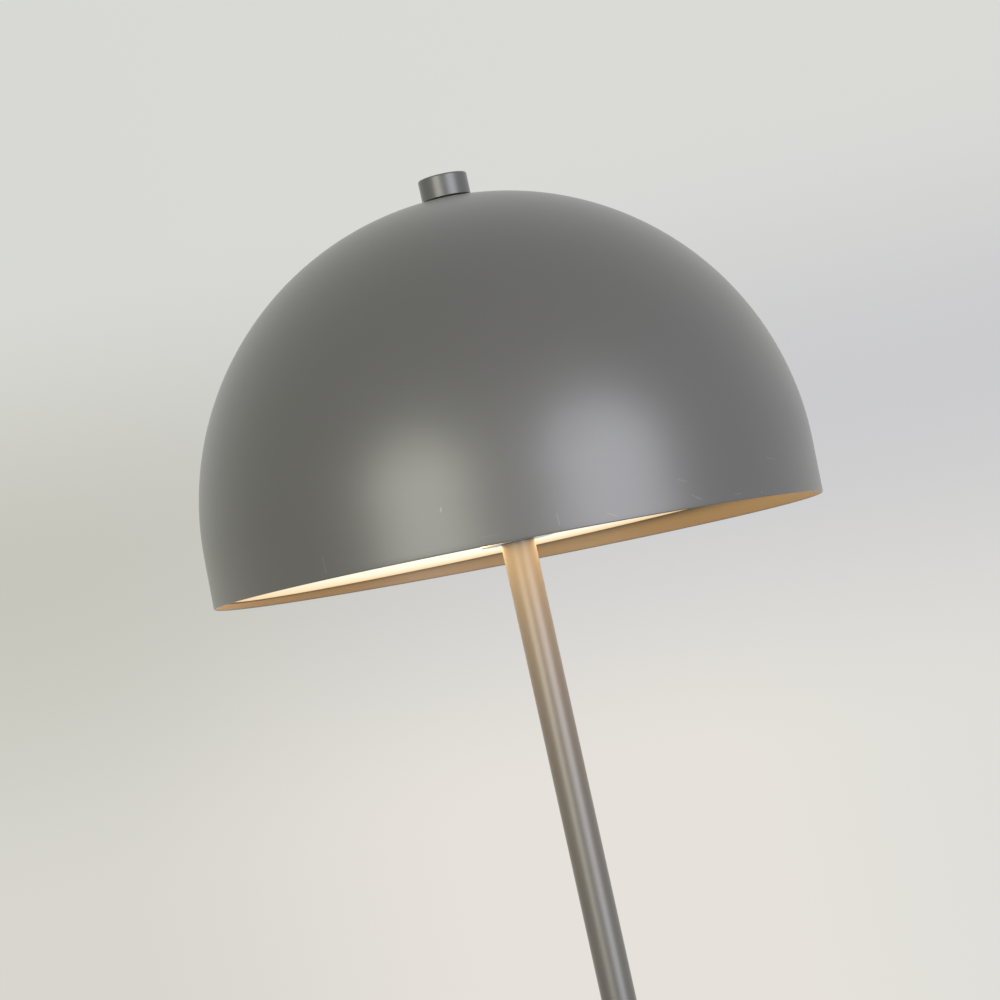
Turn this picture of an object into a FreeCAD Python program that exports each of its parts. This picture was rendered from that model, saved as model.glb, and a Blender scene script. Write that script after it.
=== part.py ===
# Mushroom floor lamp: a round weighted foot, a three-piece tube, and a domed
# sheet-metal shade closed from below by an opal disc and held by a turned knob.
#
# Frame: millimetres, +Z up the tube, origin on the floor at the middle of the foot.
# +X is to the right and +Y is away from someone who faces the lamp; the mains lead
# enters at the back, through the wall of the foot.
#
# The dome is a half sphere on a short straight skirt. It hangs by its crown from a
# U-shaped yoke and is clamped by the knob. Its crown can slide on a domed seat, so the
# dome leans about the centre of its own sphere while its outline stays where it is.
import FreeCAD
import Part
import math
import os

Vector = FreeCAD.Vector

UP = Vector(0, 0, 1)
ACROSS = Vector(1, 0, 0)
BACK = Vector(0, 1, 0)

# --- driving dimensions, in millimetres and degrees ---------------------------------

overall_height = 1500.0         # floor to the top of the knob

# shade
shade_diameter = 360.0
shade_skirt = 30.8              # straight wall below the half sphere
shade_sheet = 1.2
shade_lean = 1.48               # the crown sits this far round towards +X
crown_hole_diameter = 12.0

# knob and the pieces that it clamps
knob_diameter = 29.0
knob_height = 13.2
knob_edge_radius = 1.0
knob_bore_depth = 10.6
knob_grip = 9.0                 # length of bolt inside the knob
crown_washer_diameter = 25.2
crown_washer_thickness = 0.5
spring_washer_diameter = 15.0
spring_washer_thickness = 0.8
bolt_diameter = 6.0
bolt_head_diameter = 11.0
bolt_head_height = 3.5
bolt_offset = 2.7               # the bolt stands this far along the yoke's slot
crown_seat_diameter = 32.0
crown_seat_thickness = 4.0

# yoke and saddle
yoke_width = 14.0
yoke_thickness = 2.0
yoke_corner_radius = 30.0
yoke_room = 10.0                # between the bulb and each leg
yoke_foot_lift = 1.0
slot_length = 14.0
saddle_width = 16.0
saddle_thickness = 1.5
saddle_bend_radius = 2.5
saddle_ear_height = 16.0
yoke_screw_diameter = 4.0
yoke_screw_rise = 10.0          # above the saddle's underside
yoke_screw_head_diameter = 7.2
yoke_screw_head_height = 2.4
yoke_nut_flats = 7.0
yoke_nut_height = 3.2
yoke_screw_tail = 0.7           # thread past the nut

# opal disc
diffuser_edge_gap = 4.3         # between the disc's edge and the dome's skirt
diffuser_thickness = 3.0
diffuser_recess = 8.3           # from the dome's rim up to the disc
diffuser_seat_diameter = 44.0
diffuser_seat_thickness = 2.0
gasket_diameter = 30.0
gasket_thickness = 0.5

# tube
tube_diameter = 20.0
tube_wall = 1.2
tube_sections = 3
tube_end_chamfer = 0.3
insert_length = 25.0
spigot_length = 28.0
spigot_thread_diameter = 13.0
spigot_thread_length = 14.0
socket_end_gap = 1.0

# threaded nipples, lead and nuts
nipple_diameter = 9.9
nipple_bore = 8.0
nipple_grip = 20.0              # length inside a tube insert
nipple_tail = 0.4               # past the nut, so that the lead can turn in
nut_flats = 17.0
nut_height = 5.0
nut_above_lead = 2.5            # between the lead in the foot and the nut over it
top_nut_flats = 14.0
top_nut_height = 4.0
lead_diameter = 5.0
lead_bend_radius = 7.0
lead_passage = 9.0              # bore left for the lead in the tube joints
core_diameter = 1.8
core_spacing = 2.6

# foot
base_diameter = 280.0
base_height = 24.0
base_wall = 1.5
base_edge_radius = 4.0
base_lip_lift = 1.0             # the cover's lower edge stands clear of the floor
pad_diameter = 268.0
pad_thickness = 2.0
plate_diameter = 272.0
plate_thickness = 1.2
ballast_diameter = 220.0
pocket_diameter = 40.0
washer_diameter = 28.0
washer_thickness = 1.5
lead_channel_width = 8.0
lead_channel_height = 6.8
plate_screw_circle = 180.0
plate_screw_count = 3
plate_screw_diameter = 4.0
plate_screw_head_diameter = 8.0
plate_screw_head_height = 2.2
plate_screw_length = 12.0

# entry for the mains lead
entry_height = 7.0
entry_bore = 6.8
gland_neck_diameter = 8.4
gland_flange_diameter = 11.0
gland_outer_flange = 2.2
gland_inner_flange = 2.0

# lampholder
holder_diameter = 40.0
holder_base_diameter = 39.0
holder_base_height = 20.0
holder_floor = 3.0
holder_wall = 2.0
holder_body_height = 30.5
block_thickness = 8.5
block_boss_diameter = 26.8
block_boss_height = 3.5
shell_thickness = 0.6
shell_length = 24.0
terminal_screw_diameter = 3.0
terminal_screw_length = 5.0
contact_width = 5.0
contact_thickness = 0.4
contact_rise = 2.0
contact_half_length = 7.0

# bulb
cap_diameter = 26.4
cap_thread_depth = 1.0
cap_thread_pitch = 3.6
cap_thread_turns = 5
cap_wall = 0.6
cap_neck = 3.0                  # plain length above the thread
bulb_diameter = 60.0
bulb_length = 108.0
collar_height = 36.0
collar_wall = 1.6
collar_flare = 0.62             # share of the collar's widening reached half way up
globe_wall = 1.2
bulb_tip_diameter = 9.0
bulb_tip_height = 1.2
insulator_height = 3.6
board_thickness = 1.5

# --- clearances -----------------------------------------------------------------------

fit_gap = 0.05                  # radial, between pieces that are screwed or pressed
slip_gap = 0.3                  # between pieces that move past each other
face_gap = 0.1                  # between flat faces of pieces that turn
hole_gap = 0.3                  # radial, round a screw in a plain hole

# --- heights and radii that follow ------------------------------------------------------

shade_radius = shade_diameter / 2
shade_inner_radius = shade_radius - shade_sheet
diffuser_radius = shade_inner_radius - diffuser_edge_gap
knob_bottom = overall_height - knob_height
crown_top = knob_bottom - face_gap - crown_washer_thickness
dome_centre = crown_top - shade_radius
rim_height = dome_centre - shade_skirt

diffuser_bottom = rim_height + diffuser_recess
diffuser_top = diffuser_bottom + diffuser_thickness
tube_top = diffuser_bottom - diffuser_seat_thickness
saddle_bottom = diffuser_top + gasket_thickness
saddle_top = saddle_bottom + saddle_thickness
holder_bottom = saddle_top + top_nut_height
block_bottom = holder_bottom + holder_base_height - block_thickness
body_bottom = holder_bottom + holder_base_height
body_top = body_bottom + holder_body_height
boss_top = body_bottom + block_boss_height
bulb_bottom = boss_top + contact_rise + face_gap
cap_bottom = bulb_bottom + bulb_tip_height + insulator_height
cap_top = cap_bottom + cap_thread_pitch * cap_thread_turns + cap_neck
collar_top = cap_top + collar_height
bulb_top = bulb_bottom + bulb_length
globe_centre = bulb_top - bulb_diameter / 2
collar_mouth = math.sqrt((bulb_diameter / 2) ** 2 - (collar_top - globe_centre) ** 2)

bolt_radius = bolt_diameter / 2
crown_seat_radius = shade_inner_radius - slip_gap
yoke_top = dome_centre + crown_seat_radius - crown_seat_thickness
yoke_inner_half = bulb_diameter / 2 + yoke_room
yoke_outer_half = yoke_inner_half + yoke_thickness
yoke_bottom = saddle_bottom + yoke_foot_lift
yoke_screw_height = saddle_bottom + yoke_screw_rise
saddle_half = yoke_inner_half - fit_gap

tube_radius = tube_diameter / 2
tube_bore_radius = tube_radius - tube_wall
insert_radius = tube_bore_radius - fit_gap
section_length = (tube_top - base_height) / tube_sections
joint_heights = [base_height + section_length * n for n in range(1, tube_sections)]
thread_bore_radius = nipple_diameter / 2 + fit_gap
nipple_hole_radius = nipple_diameter / 2 + hole_gap

base_radius = base_diameter / 2
base_inner_radius = base_radius - base_wall
base_ceiling = base_height - base_wall
plate_top = pad_thickness + plate_thickness
nut_bottom = entry_height + lead_diameter / 2 + nut_above_lead
nut_top = nut_bottom + nut_height
pocket_ceiling = nut_top + washer_thickness
nipple_bottom = nut_bottom - nipple_tail
gland_inner_end = base_inner_radius - gland_inner_flange
gland_outer_end = base_radius + gland_outer_flange
lead_start = gland_inner_end - slip_gap
lead_end = holder_bottom + holder_floor + core_diameter


# --- shared shapes ----------------------------------------------------------------------


def cylinder(radius, low, high, x=0.0, y=0.0):
    """Upright cylinder between two heights."""
    return Part.makeCylinder(radius, high - low, Vector(x, y, low), UP)


def ring(outer, inner, low, high, x=0.0, y=0.0):
    """Upright tube or washer between two heights."""
    return cylinder(outer, low, high, x, y).cut(cylinder(inner, low, high, x, y))


def rod(radius, start, end):
    """Round bar between two points."""
    way = end - start
    return Part.makeCylinder(radius, way.Length, start, way)


def box(low, high):
    """Block between two opposite corners, given as (x, y, z)."""
    size = [b - a for a, b in zip(low, high)]
    return Part.makeBox(size[0], size[1], size[2], Vector(*low))


def hexagon(flats, low, high, x=0.0, y=0.0):
    """Upright hexagonal bar, measured across its flats."""
    reach = flats / math.sqrt(3)
    corners = [
        Vector(x + reach * math.cos(k * math.pi / 3), y + reach * math.sin(k * math.pi / 3), low)
        for k in range(7)
    ]
    return Part.Face(Part.makePolygon(corners)).extrude(UP * (high - low))


def flat_face(start, steps):
    """Closed face in the XZ plane.

    Each step is a point (x, z) for a straight edge, or a pair of points, one on the arc
    and one at its end, for a round edge.
    """
    def place(point):
        return Vector(point[0], 0, point[1])

    edges = []
    here = start
    for step in steps:
        if isinstance(step[0], tuple):
            middle, end = step
            edges.append(Part.Arc(place(here), place(middle), place(end)).toShape())
        else:
            end = step
            edges.append(Part.LineSegment(place(here), place(end)).toShape())
        here = end
    edges.append(Part.LineSegment(place(here), place(start)).toShape())
    return Part.Face(Part.Wire(edges))


def turned(start, steps):
    """Solid of revolution about the Z axis from a flat face."""
    return flat_face(start, steps).revolve(Vector(0, 0, 0), UP, 360)


def on_circle(radius, degrees, x=0.0, z=0.0):
    """Point (x, z) on a circle, at an angle above the +X axis."""
    angle = math.radians(degrees)
    return (x + radius * math.cos(angle), z + radius * math.sin(angle))


def group(solids):
    """Several separate solids kept in one node."""
    return Part.makeCompound(solids)


# --- foot -------------------------------------------------------------------------------


def base_cover():
    """Pressed cover with a round upper edge, a hole for the nipple and one for the gland."""
    bend_x = base_radius - base_edge_radius
    bend_z = base_height - base_edge_radius
    inner_edge = base_edge_radius - base_wall
    cover = turned(
        (base_radius, base_lip_lift),
        [
            (base_radius, bend_z),
            (on_circle(base_edge_radius, 45, bend_x, bend_z), (bend_x, base_height)),
            (nipple_hole_radius, base_height),
            (nipple_hole_radius, base_ceiling),
            (bend_x, base_ceiling),
            (on_circle(inner_edge, 45, bend_x, bend_z), (base_inner_radius, bend_z)),
            (base_inner_radius, base_lip_lift),
        ],
    )
    entry = rod(
        gland_neck_diameter / 2 + fit_gap,
        Vector(0, base_inner_radius - base_wall, entry_height),
        Vector(0, base_radius + base_wall, entry_height),
    )
    return cover.cut(entry)


def plate_screw_places():
    """Centres of the screws that hold the bottom plate, clear of the lead's channel."""
    first = -90.0
    step = 360.0 / plate_screw_count
    return [on_circle(plate_screw_circle / 2, first + step * k) for k in range(plate_screw_count)]


def plate_screw(x, y, grown=0.0):
    """Countersunk screw from below, or its hole when grown."""
    head = Part.makeCone(
        plate_screw_head_diameter / 2 + grown,
        plate_screw_diameter / 2 + grown,
        plate_screw_head_height,
        Vector(x, y, pad_thickness),
        UP,
    )
    shank = cylinder(
        plate_screw_diameter / 2 + grown, pad_thickness, pad_thickness + plate_screw_length, x, y
    )
    return head.fuse(shank).removeSplitter()


def base_ballast():
    """Cast disc with a pocket for the nut and a channel for the lead."""
    disc = ring(ballast_diameter / 2, nipple_hole_radius, plate_top, base_ceiling)
    pocket = cylinder(pocket_diameter / 2, plate_top, pocket_ceiling)
    channel = box(
        (-lead_channel_width / 2, 0, plate_top),
        (lead_channel_width / 2, base_radius, plate_top + lead_channel_height),
    )
    disc = disc.cut(pocket).cut(channel)
    for x, y in plate_screw_places():
        disc = disc.cut(plate_screw(x, y, fit_gap))
    return disc


def base_plate():
    """Thin plate that closes the foot from below."""
    plate = cylinder(plate_diameter / 2, pad_thickness, plate_top)
    for x, y in plate_screw_places():
        plate = plate.cut(plate_screw(x, y, fit_gap))
    return plate


def plate_screws():
    """The bottom plate's screws."""
    return group([plate_screw(x, y) for x, y in plate_screw_places()])


def base_pad():
    """Soft foam disc that the lamp stands on."""
    return cylinder(pad_diameter / 2, 0, pad_thickness)


def cable_gland():
    """Bush that lines the lead's hole: a flange each side of the wall and a neck in it."""
    def across(diameter):
        return rod(
            diameter / 2, Vector(0, gland_inner_end, entry_height), Vector(0, gland_outer_end, entry_height)
        )

    wall = ring(base_radius + fit_gap, base_inner_radius - fit_gap, 0, base_height)
    flanges = across(gland_flange_diameter).cut(wall)
    return flanges.fuse(across(gland_neck_diameter)).cut(across(entry_bore)).removeSplitter()


def base_nipple():
    """Hollow threaded rod that ties the tube to the foot."""
    return ring(nipple_diameter / 2, nipple_bore / 2, nipple_bottom, base_height + nipple_grip)


def base_washer():
    """Plain washer in the ballast's pocket."""
    return ring(washer_diameter / 2, thread_bore_radius + fit_gap, nut_top, pocket_ceiling)


def base_nut():
    """Nut that pulls the tube down on the foot."""
    return hexagon(nut_flats, nut_bottom, nut_top).cut(cylinder(thread_bore_radius, nut_bottom, nut_top))


# --- tube -------------------------------------------------------------------------------


def tube_section(number):
    """One length of tube, with its outer edges broken so that the joints show as fine lines."""
    low = base_height + section_length * number
    high = low + section_length
    return turned(
        (tube_bore_radius, low),
        [
            (tube_radius - tube_end_chamfer, low),
            (tube_radius, low + tube_end_chamfer),
            (tube_radius, high - tube_end_chamfer),
            (tube_radius - tube_end_chamfer, high),
            (tube_bore_radius, high),
        ],
    )


def tube_insert(low):
    """Threaded plug pressed into a tube's end."""
    return ring(insert_radius, thread_bore_radius, low, low + insert_length)


def joint_spigot(height):
    """Plug in the top of a lower length, with a hollow thread that stands out of it."""
    thread = spigot_thread_diameter / 2
    return turned(
        (lead_passage / 2, height - spigot_length),
        [
            (insert_radius, height - spigot_length),
            (insert_radius, height),
            (thread, height),
            (thread, height + spigot_thread_length),
            (lead_passage / 2, height + spigot_thread_length),
        ],
    )


def joint_socket(height):
    """Plug in the foot of an upper length, bored for the spigot's thread."""
    thread = spigot_thread_diameter / 2 + fit_gap
    shoulder = height + spigot_thread_length + socket_end_gap
    return turned(
        (thread, height),
        [
            (insert_radius, height),
            (insert_radius, height + spigot_length),
            (lead_passage / 2, height + spigot_length),
            (lead_passage / 2, shoulder),
            (thread, shoulder),
        ],
    )


def inner_lead():
    """Two-core lead from the foot's entry to the lampholder, along the middle of the tube."""
    start = Vector(0, lead_start, entry_height)
    turn = Vector(0, lead_bend_radius, entry_height)
    rise = Vector(0, 0, entry_height + lead_bend_radius)
    end = Vector(0, 0, lead_end)
    inset = lead_bend_radius * (1 - math.sqrt(0.5))
    path = Part.Wire([
        Part.LineSegment(start, turn).toShape(),
        Part.Arc(turn, Vector(0, inset, entry_height + inset), rise).toShape(),
        Part.LineSegment(rise, end).toShape(),
    ])
    section = Part.Wire(Part.makeCircle(lead_diameter / 2, start, BACK))
    return path.makePipeShell([section], True, False)


def lead_cores():
    """The lead's two cores, from its end out to the terminals."""
    low = lead_end
    high = block_bottom
    radius = (high - low) / 2
    cores = []
    for side in (-1, 1):
        near = side * core_spacing / 2
        middle = near + side * radius
        far = near + side * 2 * radius
        sweep = radius * math.sqrt(0.5)
        path = Part.Wire([
            Part.Arc(
                Vector(near, 0, low),
                Vector(middle - side * sweep, 0, low + sweep),
                Vector(middle, 0, low + radius),
            ).toShape(),
            Part.Arc(
                Vector(middle, 0, low + radius),
                Vector(middle + side * sweep, 0, high - sweep),
                Vector(far, 0, high),
            ).toShape(),
        ])
        section = Part.Wire(Part.makeCircle(core_diameter / 2, Vector(near, 0, low), UP))
        cores.append(path.makePipeShell([section], True, False))
    return group(cores)


# --- opal disc and what carries it --------------------------------------------------------


def top_nipple():
    """Hollow threaded rod from the tube's top to the lampholder."""
    return ring(nipple_diameter / 2, nipple_bore / 2, tube_top - nipple_grip, holder_bottom + holder_floor)


def diffuser_seat():
    """Flange on the tube's top that the opal disc lies on."""
    return ring(
        diffuser_seat_diameter / 2, nipple_hole_radius, tube_top, diffuser_bottom
    )


def diffuser():
    """Opal disc that closes the dome from below."""
    return ring(diffuser_radius, nipple_hole_radius, diffuser_bottom, diffuser_top)


def diffuser_gasket():
    """Soft washer between the opal disc and the saddle."""
    return ring(gasket_diameter / 2, nipple_hole_radius, diffuser_top, saddle_bottom)


def nipple_nut():
    """Nut that clamps the saddle and the opal disc to the tube's top."""
    return hexagon(top_nut_flats, saddle_top, holder_bottom).cut(
        cylinder(thread_bore_radius, saddle_top, holder_bottom)
    )


# --- yoke -------------------------------------------------------------------------------


def channel_face(half, low, thickness, high, bend):
    """Face of a strip with both ends turned up, in the XZ plane; bend is its outer radius."""
    inner = bend - thickness
    middle = low + bend
    left = bend - half
    right = half - bend
    return flat_face(
        (-half, high),
        [
            (-half, middle),
            (on_circle(bend, -135, left, middle), (left, low)),
            (right, low),
            (on_circle(bend, -45, right, middle), (half, middle)),
            (half, high),
            (half - thickness, high),
            (half - thickness, middle),
            (on_circle(inner, -45, right, middle), (right, low + thickness)),
            (left, low + thickness),
            (on_circle(inner, -135, left, middle), (thickness - half, middle)),
            (thickness - half, high),
        ],
    )


def strip(face, width):
    """Strip of that width, centred on the XZ plane, from its face."""
    body = face.extrude(BACK * width)
    body.translate(BACK * (-width / 2))
    return body


def yoke_screw_holes():
    """One bar through both legs where their screws go."""
    reach = yoke_outer_half + yoke_screw_head_height
    return rod(
        yoke_screw_diameter / 2 + fit_gap,
        Vector(-reach, 0, yoke_screw_height),
        Vector(reach, 0, yoke_screw_height),
    )


def saddle():
    """Strip across the top of the opal disc, with an ear at each end for the yoke."""
    high = saddle_bottom + saddle_ear_height
    face = channel_face(saddle_half, saddle_bottom, saddle_thickness, high, saddle_bend_radius)
    body = strip(face, saddle_width)
    body = body.cut(cylinder(nipple_hole_radius, saddle_bottom, saddle_top))
    return body.cut(yoke_screw_holes())


def yoke():
    """U-shaped strip over the bulb that carries the dome, slotted at its top for the bolt."""
    arch = channel_face(yoke_outer_half, -yoke_top, yoke_thickness, -yoke_bottom, yoke_corner_radius)
    arch.rotate(Vector(0, 0, 0), ACROSS, 180)
    body = strip(arch, yoke_width)
    slot_radius = bolt_radius + hole_gap
    slot_half = slot_length / 2 - slot_radius
    low = yoke_top - yoke_thickness
    slot = box((-slot_half, -slot_radius, low), (slot_half, slot_radius, yoke_top))
    for side in (-1, 1):
        slot = slot.fuse(cylinder(slot_radius, low, yoke_top, side * slot_half))
    return body.cut(slot).cut(yoke_screw_holes())


def yoke_screws():
    """Pan-head screws that fix the legs to the saddle's ears."""
    screws = []
    for side in (-1, 1):
        face = side * yoke_outer_half
        head = rod(
            yoke_screw_head_diameter / 2,
            Vector(face, 0, yoke_screw_height),
            Vector(face + side * yoke_screw_head_height, 0, yoke_screw_height),
        )
        inner = saddle_half - saddle_thickness - yoke_nut_height - yoke_screw_tail
        shank = rod(
            yoke_screw_diameter / 2,
            Vector(side * inner, 0, yoke_screw_height),
            Vector(face, 0, yoke_screw_height),
        )
        screws.append(head.fuse(shank).removeSplitter())
    return group(screws)


def yoke_nuts():
    """Nuts on the inside of the saddle's ears."""
    nuts = []
    for side in (-1, 1):
        nut = hexagon(yoke_nut_flats, 0, yoke_nut_height).cut(
            cylinder(yoke_screw_diameter / 2 + fit_gap, 0, yoke_nut_height)
        )
        nut.rotate(Vector(0, 0, 0), BACK, -side * 90)
        nut.translate(Vector(side * (saddle_half - saddle_thickness), 0, yoke_screw_height))
        nuts.append(nut)
    return group(nuts)


def crown_bolt():
    """Headed bolt that stands up through the yoke, the seat and the dome into the knob."""
    underside = yoke_top - yoke_thickness
    head = cylinder(bolt_head_diameter / 2, underside - bolt_head_height, underside, bolt_offset)
    shank = cylinder(bolt_radius, underside, knob_bottom + knob_grip, bolt_offset)
    return head.fuse(shank).removeSplitter()


def crown_seat():
    """Turned button with a domed top, concentric with the dome's sphere, under the crown."""
    high = dome_centre + shade_inner_radius
    body = ring(crown_seat_diameter / 2, bolt_radius + fit_gap, yoke_top, high, bolt_offset)
    return body.common(Part.makeSphere(crown_seat_radius, Vector(0, 0, dome_centre)))


# --- lampholder ---------------------------------------------------------------------------


def lampholder_base():
    """Cup that screws on the top nipple and covers the terminals."""
    radius = holder_base_diameter / 2
    cup = ring(radius, thread_bore_radius, holder_bottom, body_bottom)
    return cup.cut(cylinder(radius - holder_wall, holder_bottom + holder_floor, body_bottom))


def terminal_screw_places():
    """Distances of the terminal screws from the axis."""
    return [side * (core_spacing / 2 + block_bottom - lead_end) for side in (-1, 1)]


def terminal_block():
    """Insulating block with a boss under the shell and two screws in its underside."""
    block = cylinder(holder_base_diameter / 2 - holder_wall - fit_gap, block_bottom, body_bottom)
    boss = cylinder(block_boss_diameter / 2, body_bottom, boss_top)
    block = block.fuse(boss).removeSplitter()
    for place in terminal_screw_places():
        block = block.cut(terminal_screw(place, fit_gap))
    return block


def terminal_screw(place, grown=0.0):
    """One terminal screw, set beside its core, or its hole when grown."""
    beside = core_diameter / 2 + terminal_screw_diameter / 2 + hole_gap
    return cylinder(
        terminal_screw_diameter / 2 + grown,
        block_bottom,
        block_bottom + terminal_screw_length + grown,
        place,
        beside,
    )


def terminal_screws():
    """Both terminal screws."""
    return group([terminal_screw(place) for place in terminal_screw_places()])


def lampholder_body():
    """Outer sleeve of the lampholder, open at the top for the bulb."""
    bore = cap_diameter / 2 + slip_gap + shell_thickness + fit_gap
    return ring(holder_diameter / 2, bore, body_bottom, body_top)


def lampholder_shell():
    """Metal sleeve that takes the bulb's cap."""
    bore = cap_diameter / 2 + slip_gap
    return ring(bore + shell_thickness, bore, boss_top, boss_top + shell_length)


def lampholder_contact():
    """Bent spring strip that touches the bulb's tip."""
    low = boss_top
    half = contact_half_length
    flat = contact_half_length / 2
    top = low + contact_rise
    face = flat_face(
        (-half, low),
        [
            (-half + flat / 2, low),
            (-flat / 2, top - contact_thickness),
            (flat / 2, top - contact_thickness),
            (half - flat / 2, low),
            (half, low),
            (half, low + contact_thickness),
            (half - flat / 2 - contact_thickness, low + contact_thickness),
            (flat / 2, top),
            (-flat / 2, top),
            (-half + flat / 2 + contact_thickness, low + contact_thickness),
            (-half, low + contact_thickness),
        ],
    )
    return strip(face, contact_width)


# --- bulb ---------------------------------------------------------------------------------


def bulb_contact():
    """Solder tip of the bulb."""
    return cylinder(bulb_tip_diameter / 2, bulb_bottom, bulb_bottom + bulb_tip_height)


def bulb_insulator():
    """Insulating cone between the tip and the cap's sleeve."""
    low = bulb_bottom + bulb_tip_height
    return Part.makeCone(
        bulb_tip_diameter / 2, cap_diameter / 2 - cap_thread_depth, insulator_height, Vector(0, 0, low), UP
    )


def bulb_cap():
    """Sheet-metal sleeve with rounded rolled threads."""
    root = cap_diameter / 2 - cap_thread_depth
    crest = cap_diameter / 2
    steps = []
    height = cap_bottom
    for _ in range(cap_thread_turns):
        steps.append(((crest, height + cap_thread_pitch / 2), (root, height + cap_thread_pitch)))
        height += cap_thread_pitch
    steps += [(root, cap_top), (root - cap_wall, cap_top), (root - cap_wall, cap_bottom)]
    return turned((root, cap_bottom), steps)


def bulb_collar():
    """Flared housing of the bulb's driver, hollowed at its mouth for the board."""
    neck = cap_diameter / 2
    swell = (neck + (collar_mouth - neck) * collar_flare, cap_top + collar_height / 2)
    rim = collar_mouth - collar_wall
    return turned(
        (0, cap_top),
        [
            (neck, cap_top),
            (swell, (collar_mouth, collar_top)),
            (rim, collar_top),
            (rim, collar_top - board_thickness),
            (0, collar_top - board_thickness),
        ],
    )


def bulb_board():
    """Round board of light chips, set in the collar's mouth."""
    radius = collar_mouth - collar_wall - fit_gap
    return cylinder(radius, collar_top - board_thickness, collar_top)


def bulb_globe():
    """Opal globe of the bulb, a shell that sits on the collar."""
    outer = bulb_diameter / 2
    centre = Vector(0, 0, globe_centre)
    shell = Part.makeSphere(outer, centre).cut(Part.makeSphere(outer - globe_wall, centre))
    return shell.cut(cylinder(outer, globe_centre - outer, collar_top))


# --- shade and knob -------------------------------------------------------------------------


def shade():
    """Dome of sheet metal: a half sphere on a straight skirt with a rounded rim, leaning."""
    hole = crown_hole_diameter / 2
    outer, inner = shade_radius, shade_inner_radius
    lip = shade_sheet / 2
    outer_angle = math.degrees(math.acos(hole / outer))
    inner_angle = math.degrees(math.acos(hole / inner))
    dome = turned(
        on_circle(outer, outer_angle),
        [
            (on_circle(outer, outer_angle / 2), (outer, 0)),
            (outer, -shade_skirt + lip),
            ((outer - lip, -shade_skirt), (inner, -shade_skirt + lip)),
            (inner, 0),
            (on_circle(inner, inner_angle / 2), on_circle(inner, inner_angle)),
        ],
    )
    dome.rotate(Vector(0, 0, 0), BACK, shade_lean)
    dome.translate(UP * dome_centre)
    return dome


def crown_washer():
    """Dark washer between the dome and the knob, hollowed to the dome's curve."""
    high = crown_top + crown_washer_thickness
    reach = crown_washer_diameter / 2 + bolt_offset
    low = dome_centre + math.sqrt(shade_radius ** 2 - reach ** 2)
    body = ring(crown_washer_diameter / 2, bolt_radius + hole_gap, low, high, bolt_offset)
    return body.cut(Part.makeSphere(shade_radius + slip_gap / 2, Vector(0, 0, dome_centre)))


def knob_washer():
    """Springy washer kept in the knob's underside; it rises with the knob but doesn't turn."""
    low = knob_bottom + face_gap
    return ring(
        spring_washer_diameter / 2, bolt_radius + hole_gap, low, low + spring_washer_thickness, bolt_offset
    )


def knob():
    """Turned cylindrical knob with a blind threaded hole and a recess for its washer."""
    radius = knob_diameter / 2
    bore = bolt_radius + fit_gap
    recess = spring_washer_diameter / 2 + slip_gap
    recess_top = knob_bottom + spring_washer_thickness + 2 * face_gap
    edge = knob_edge_radius
    shoulder = edge * (1 - math.sqrt(0.5))
    body = turned(
        (recess, knob_bottom),
        [
            (radius - edge / 2, knob_bottom),
            (radius, knob_bottom + edge / 2),
            (radius, overall_height - edge),
            ((radius - shoulder, overall_height - shoulder), (radius - edge, overall_height)),
            (0, overall_height),
            (0, knob_bottom + knob_bore_depth),
            (bore, knob_bottom + knob_bore_depth),
            (bore, recess_top),
            (recess, recess_top),
        ],
    )
    body.translate(ACROSS * bolt_offset)
    return body


# --- the lamp, piece by piece -----------------------------------------------------------------

lower_joint, upper_joint = joint_heights

pieces = {
    "base_pad": base_pad(),
    "base_plate": base_plate(),
    "plate_screws": plate_screws(),
    "base_ballast": base_ballast(),
    "base_cover": base_cover(),
    "cable_gland": cable_gland(),
    "base_nipple": base_nipple(),
    "base_washer": base_washer(),
    "base_nut": base_nut(),
    "foot_insert": tube_insert(base_height),
    "pole_lower": tube_section(0),
    "lower_spigot": joint_spigot(lower_joint),
    "lower_socket": joint_socket(lower_joint),
    "pole_middle": tube_section(1),
    "upper_spigot": joint_spigot(upper_joint),
    "upper_socket": joint_socket(upper_joint),
    "pole_upper": tube_section(2),
    "top_insert": tube_insert(tube_top - insert_length),
    "inner_lead": inner_lead(),
    "lead_cores": lead_cores(),
    "top_nipple": top_nipple(),
    "diffuser_seat": diffuser_seat(),
    "diffuser": diffuser(),
    "diffuser_gasket": diffuser_gasket(),
    "saddle": saddle(),
    "nipple_nut": nipple_nut(),
    "yoke": yoke(),
    "yoke_screws": yoke_screws(),
    "yoke_nuts": yoke_nuts(),
    "crown_bolt": crown_bolt(),
    "crown_seat": crown_seat(),
    "lampholder_base": lampholder_base(),
    "terminal_block": terminal_block(),
    "terminal_screws": terminal_screws(),
    "lampholder_body": lampholder_body(),
    "lampholder_shell": lampholder_shell(),
    "lampholder_contact": lampholder_contact(),
    "bulb_contact": bulb_contact(),
    "bulb_insulator": bulb_insulator(),
    "bulb_cap": bulb_cap(),
    "bulb_collar": bulb_collar(),
    "bulb_board": bulb_board(),
    "bulb_globe": bulb_globe(),
    "shade": shade(),
    "crown_washer": crown_washer(),
    "knob_washer": knob_washer(),
    "knob": knob(),
}

os.makedirs("parts", exist_ok=True)
for name, shape in pieces.items():
    if not shape.isValid():
        raise ValueError(name + " is not a valid shape")
    shape.exportStep("parts/" + name + ".step")
print(len(pieces), "nodes, dome centre at", round(dome_centre, 2), "rim at", round(rim_height, 2))
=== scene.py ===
"""Looks of a mushroom floor lamp: a lacquered dome on a slim tube with a round weighted foot.

Sizes are in metres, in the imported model's frame: the origin is on the floor at the middle of the
foot, +Z runs up the tube and +Y points to the back of the lamp.
"""
from __future__ import annotations

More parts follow.
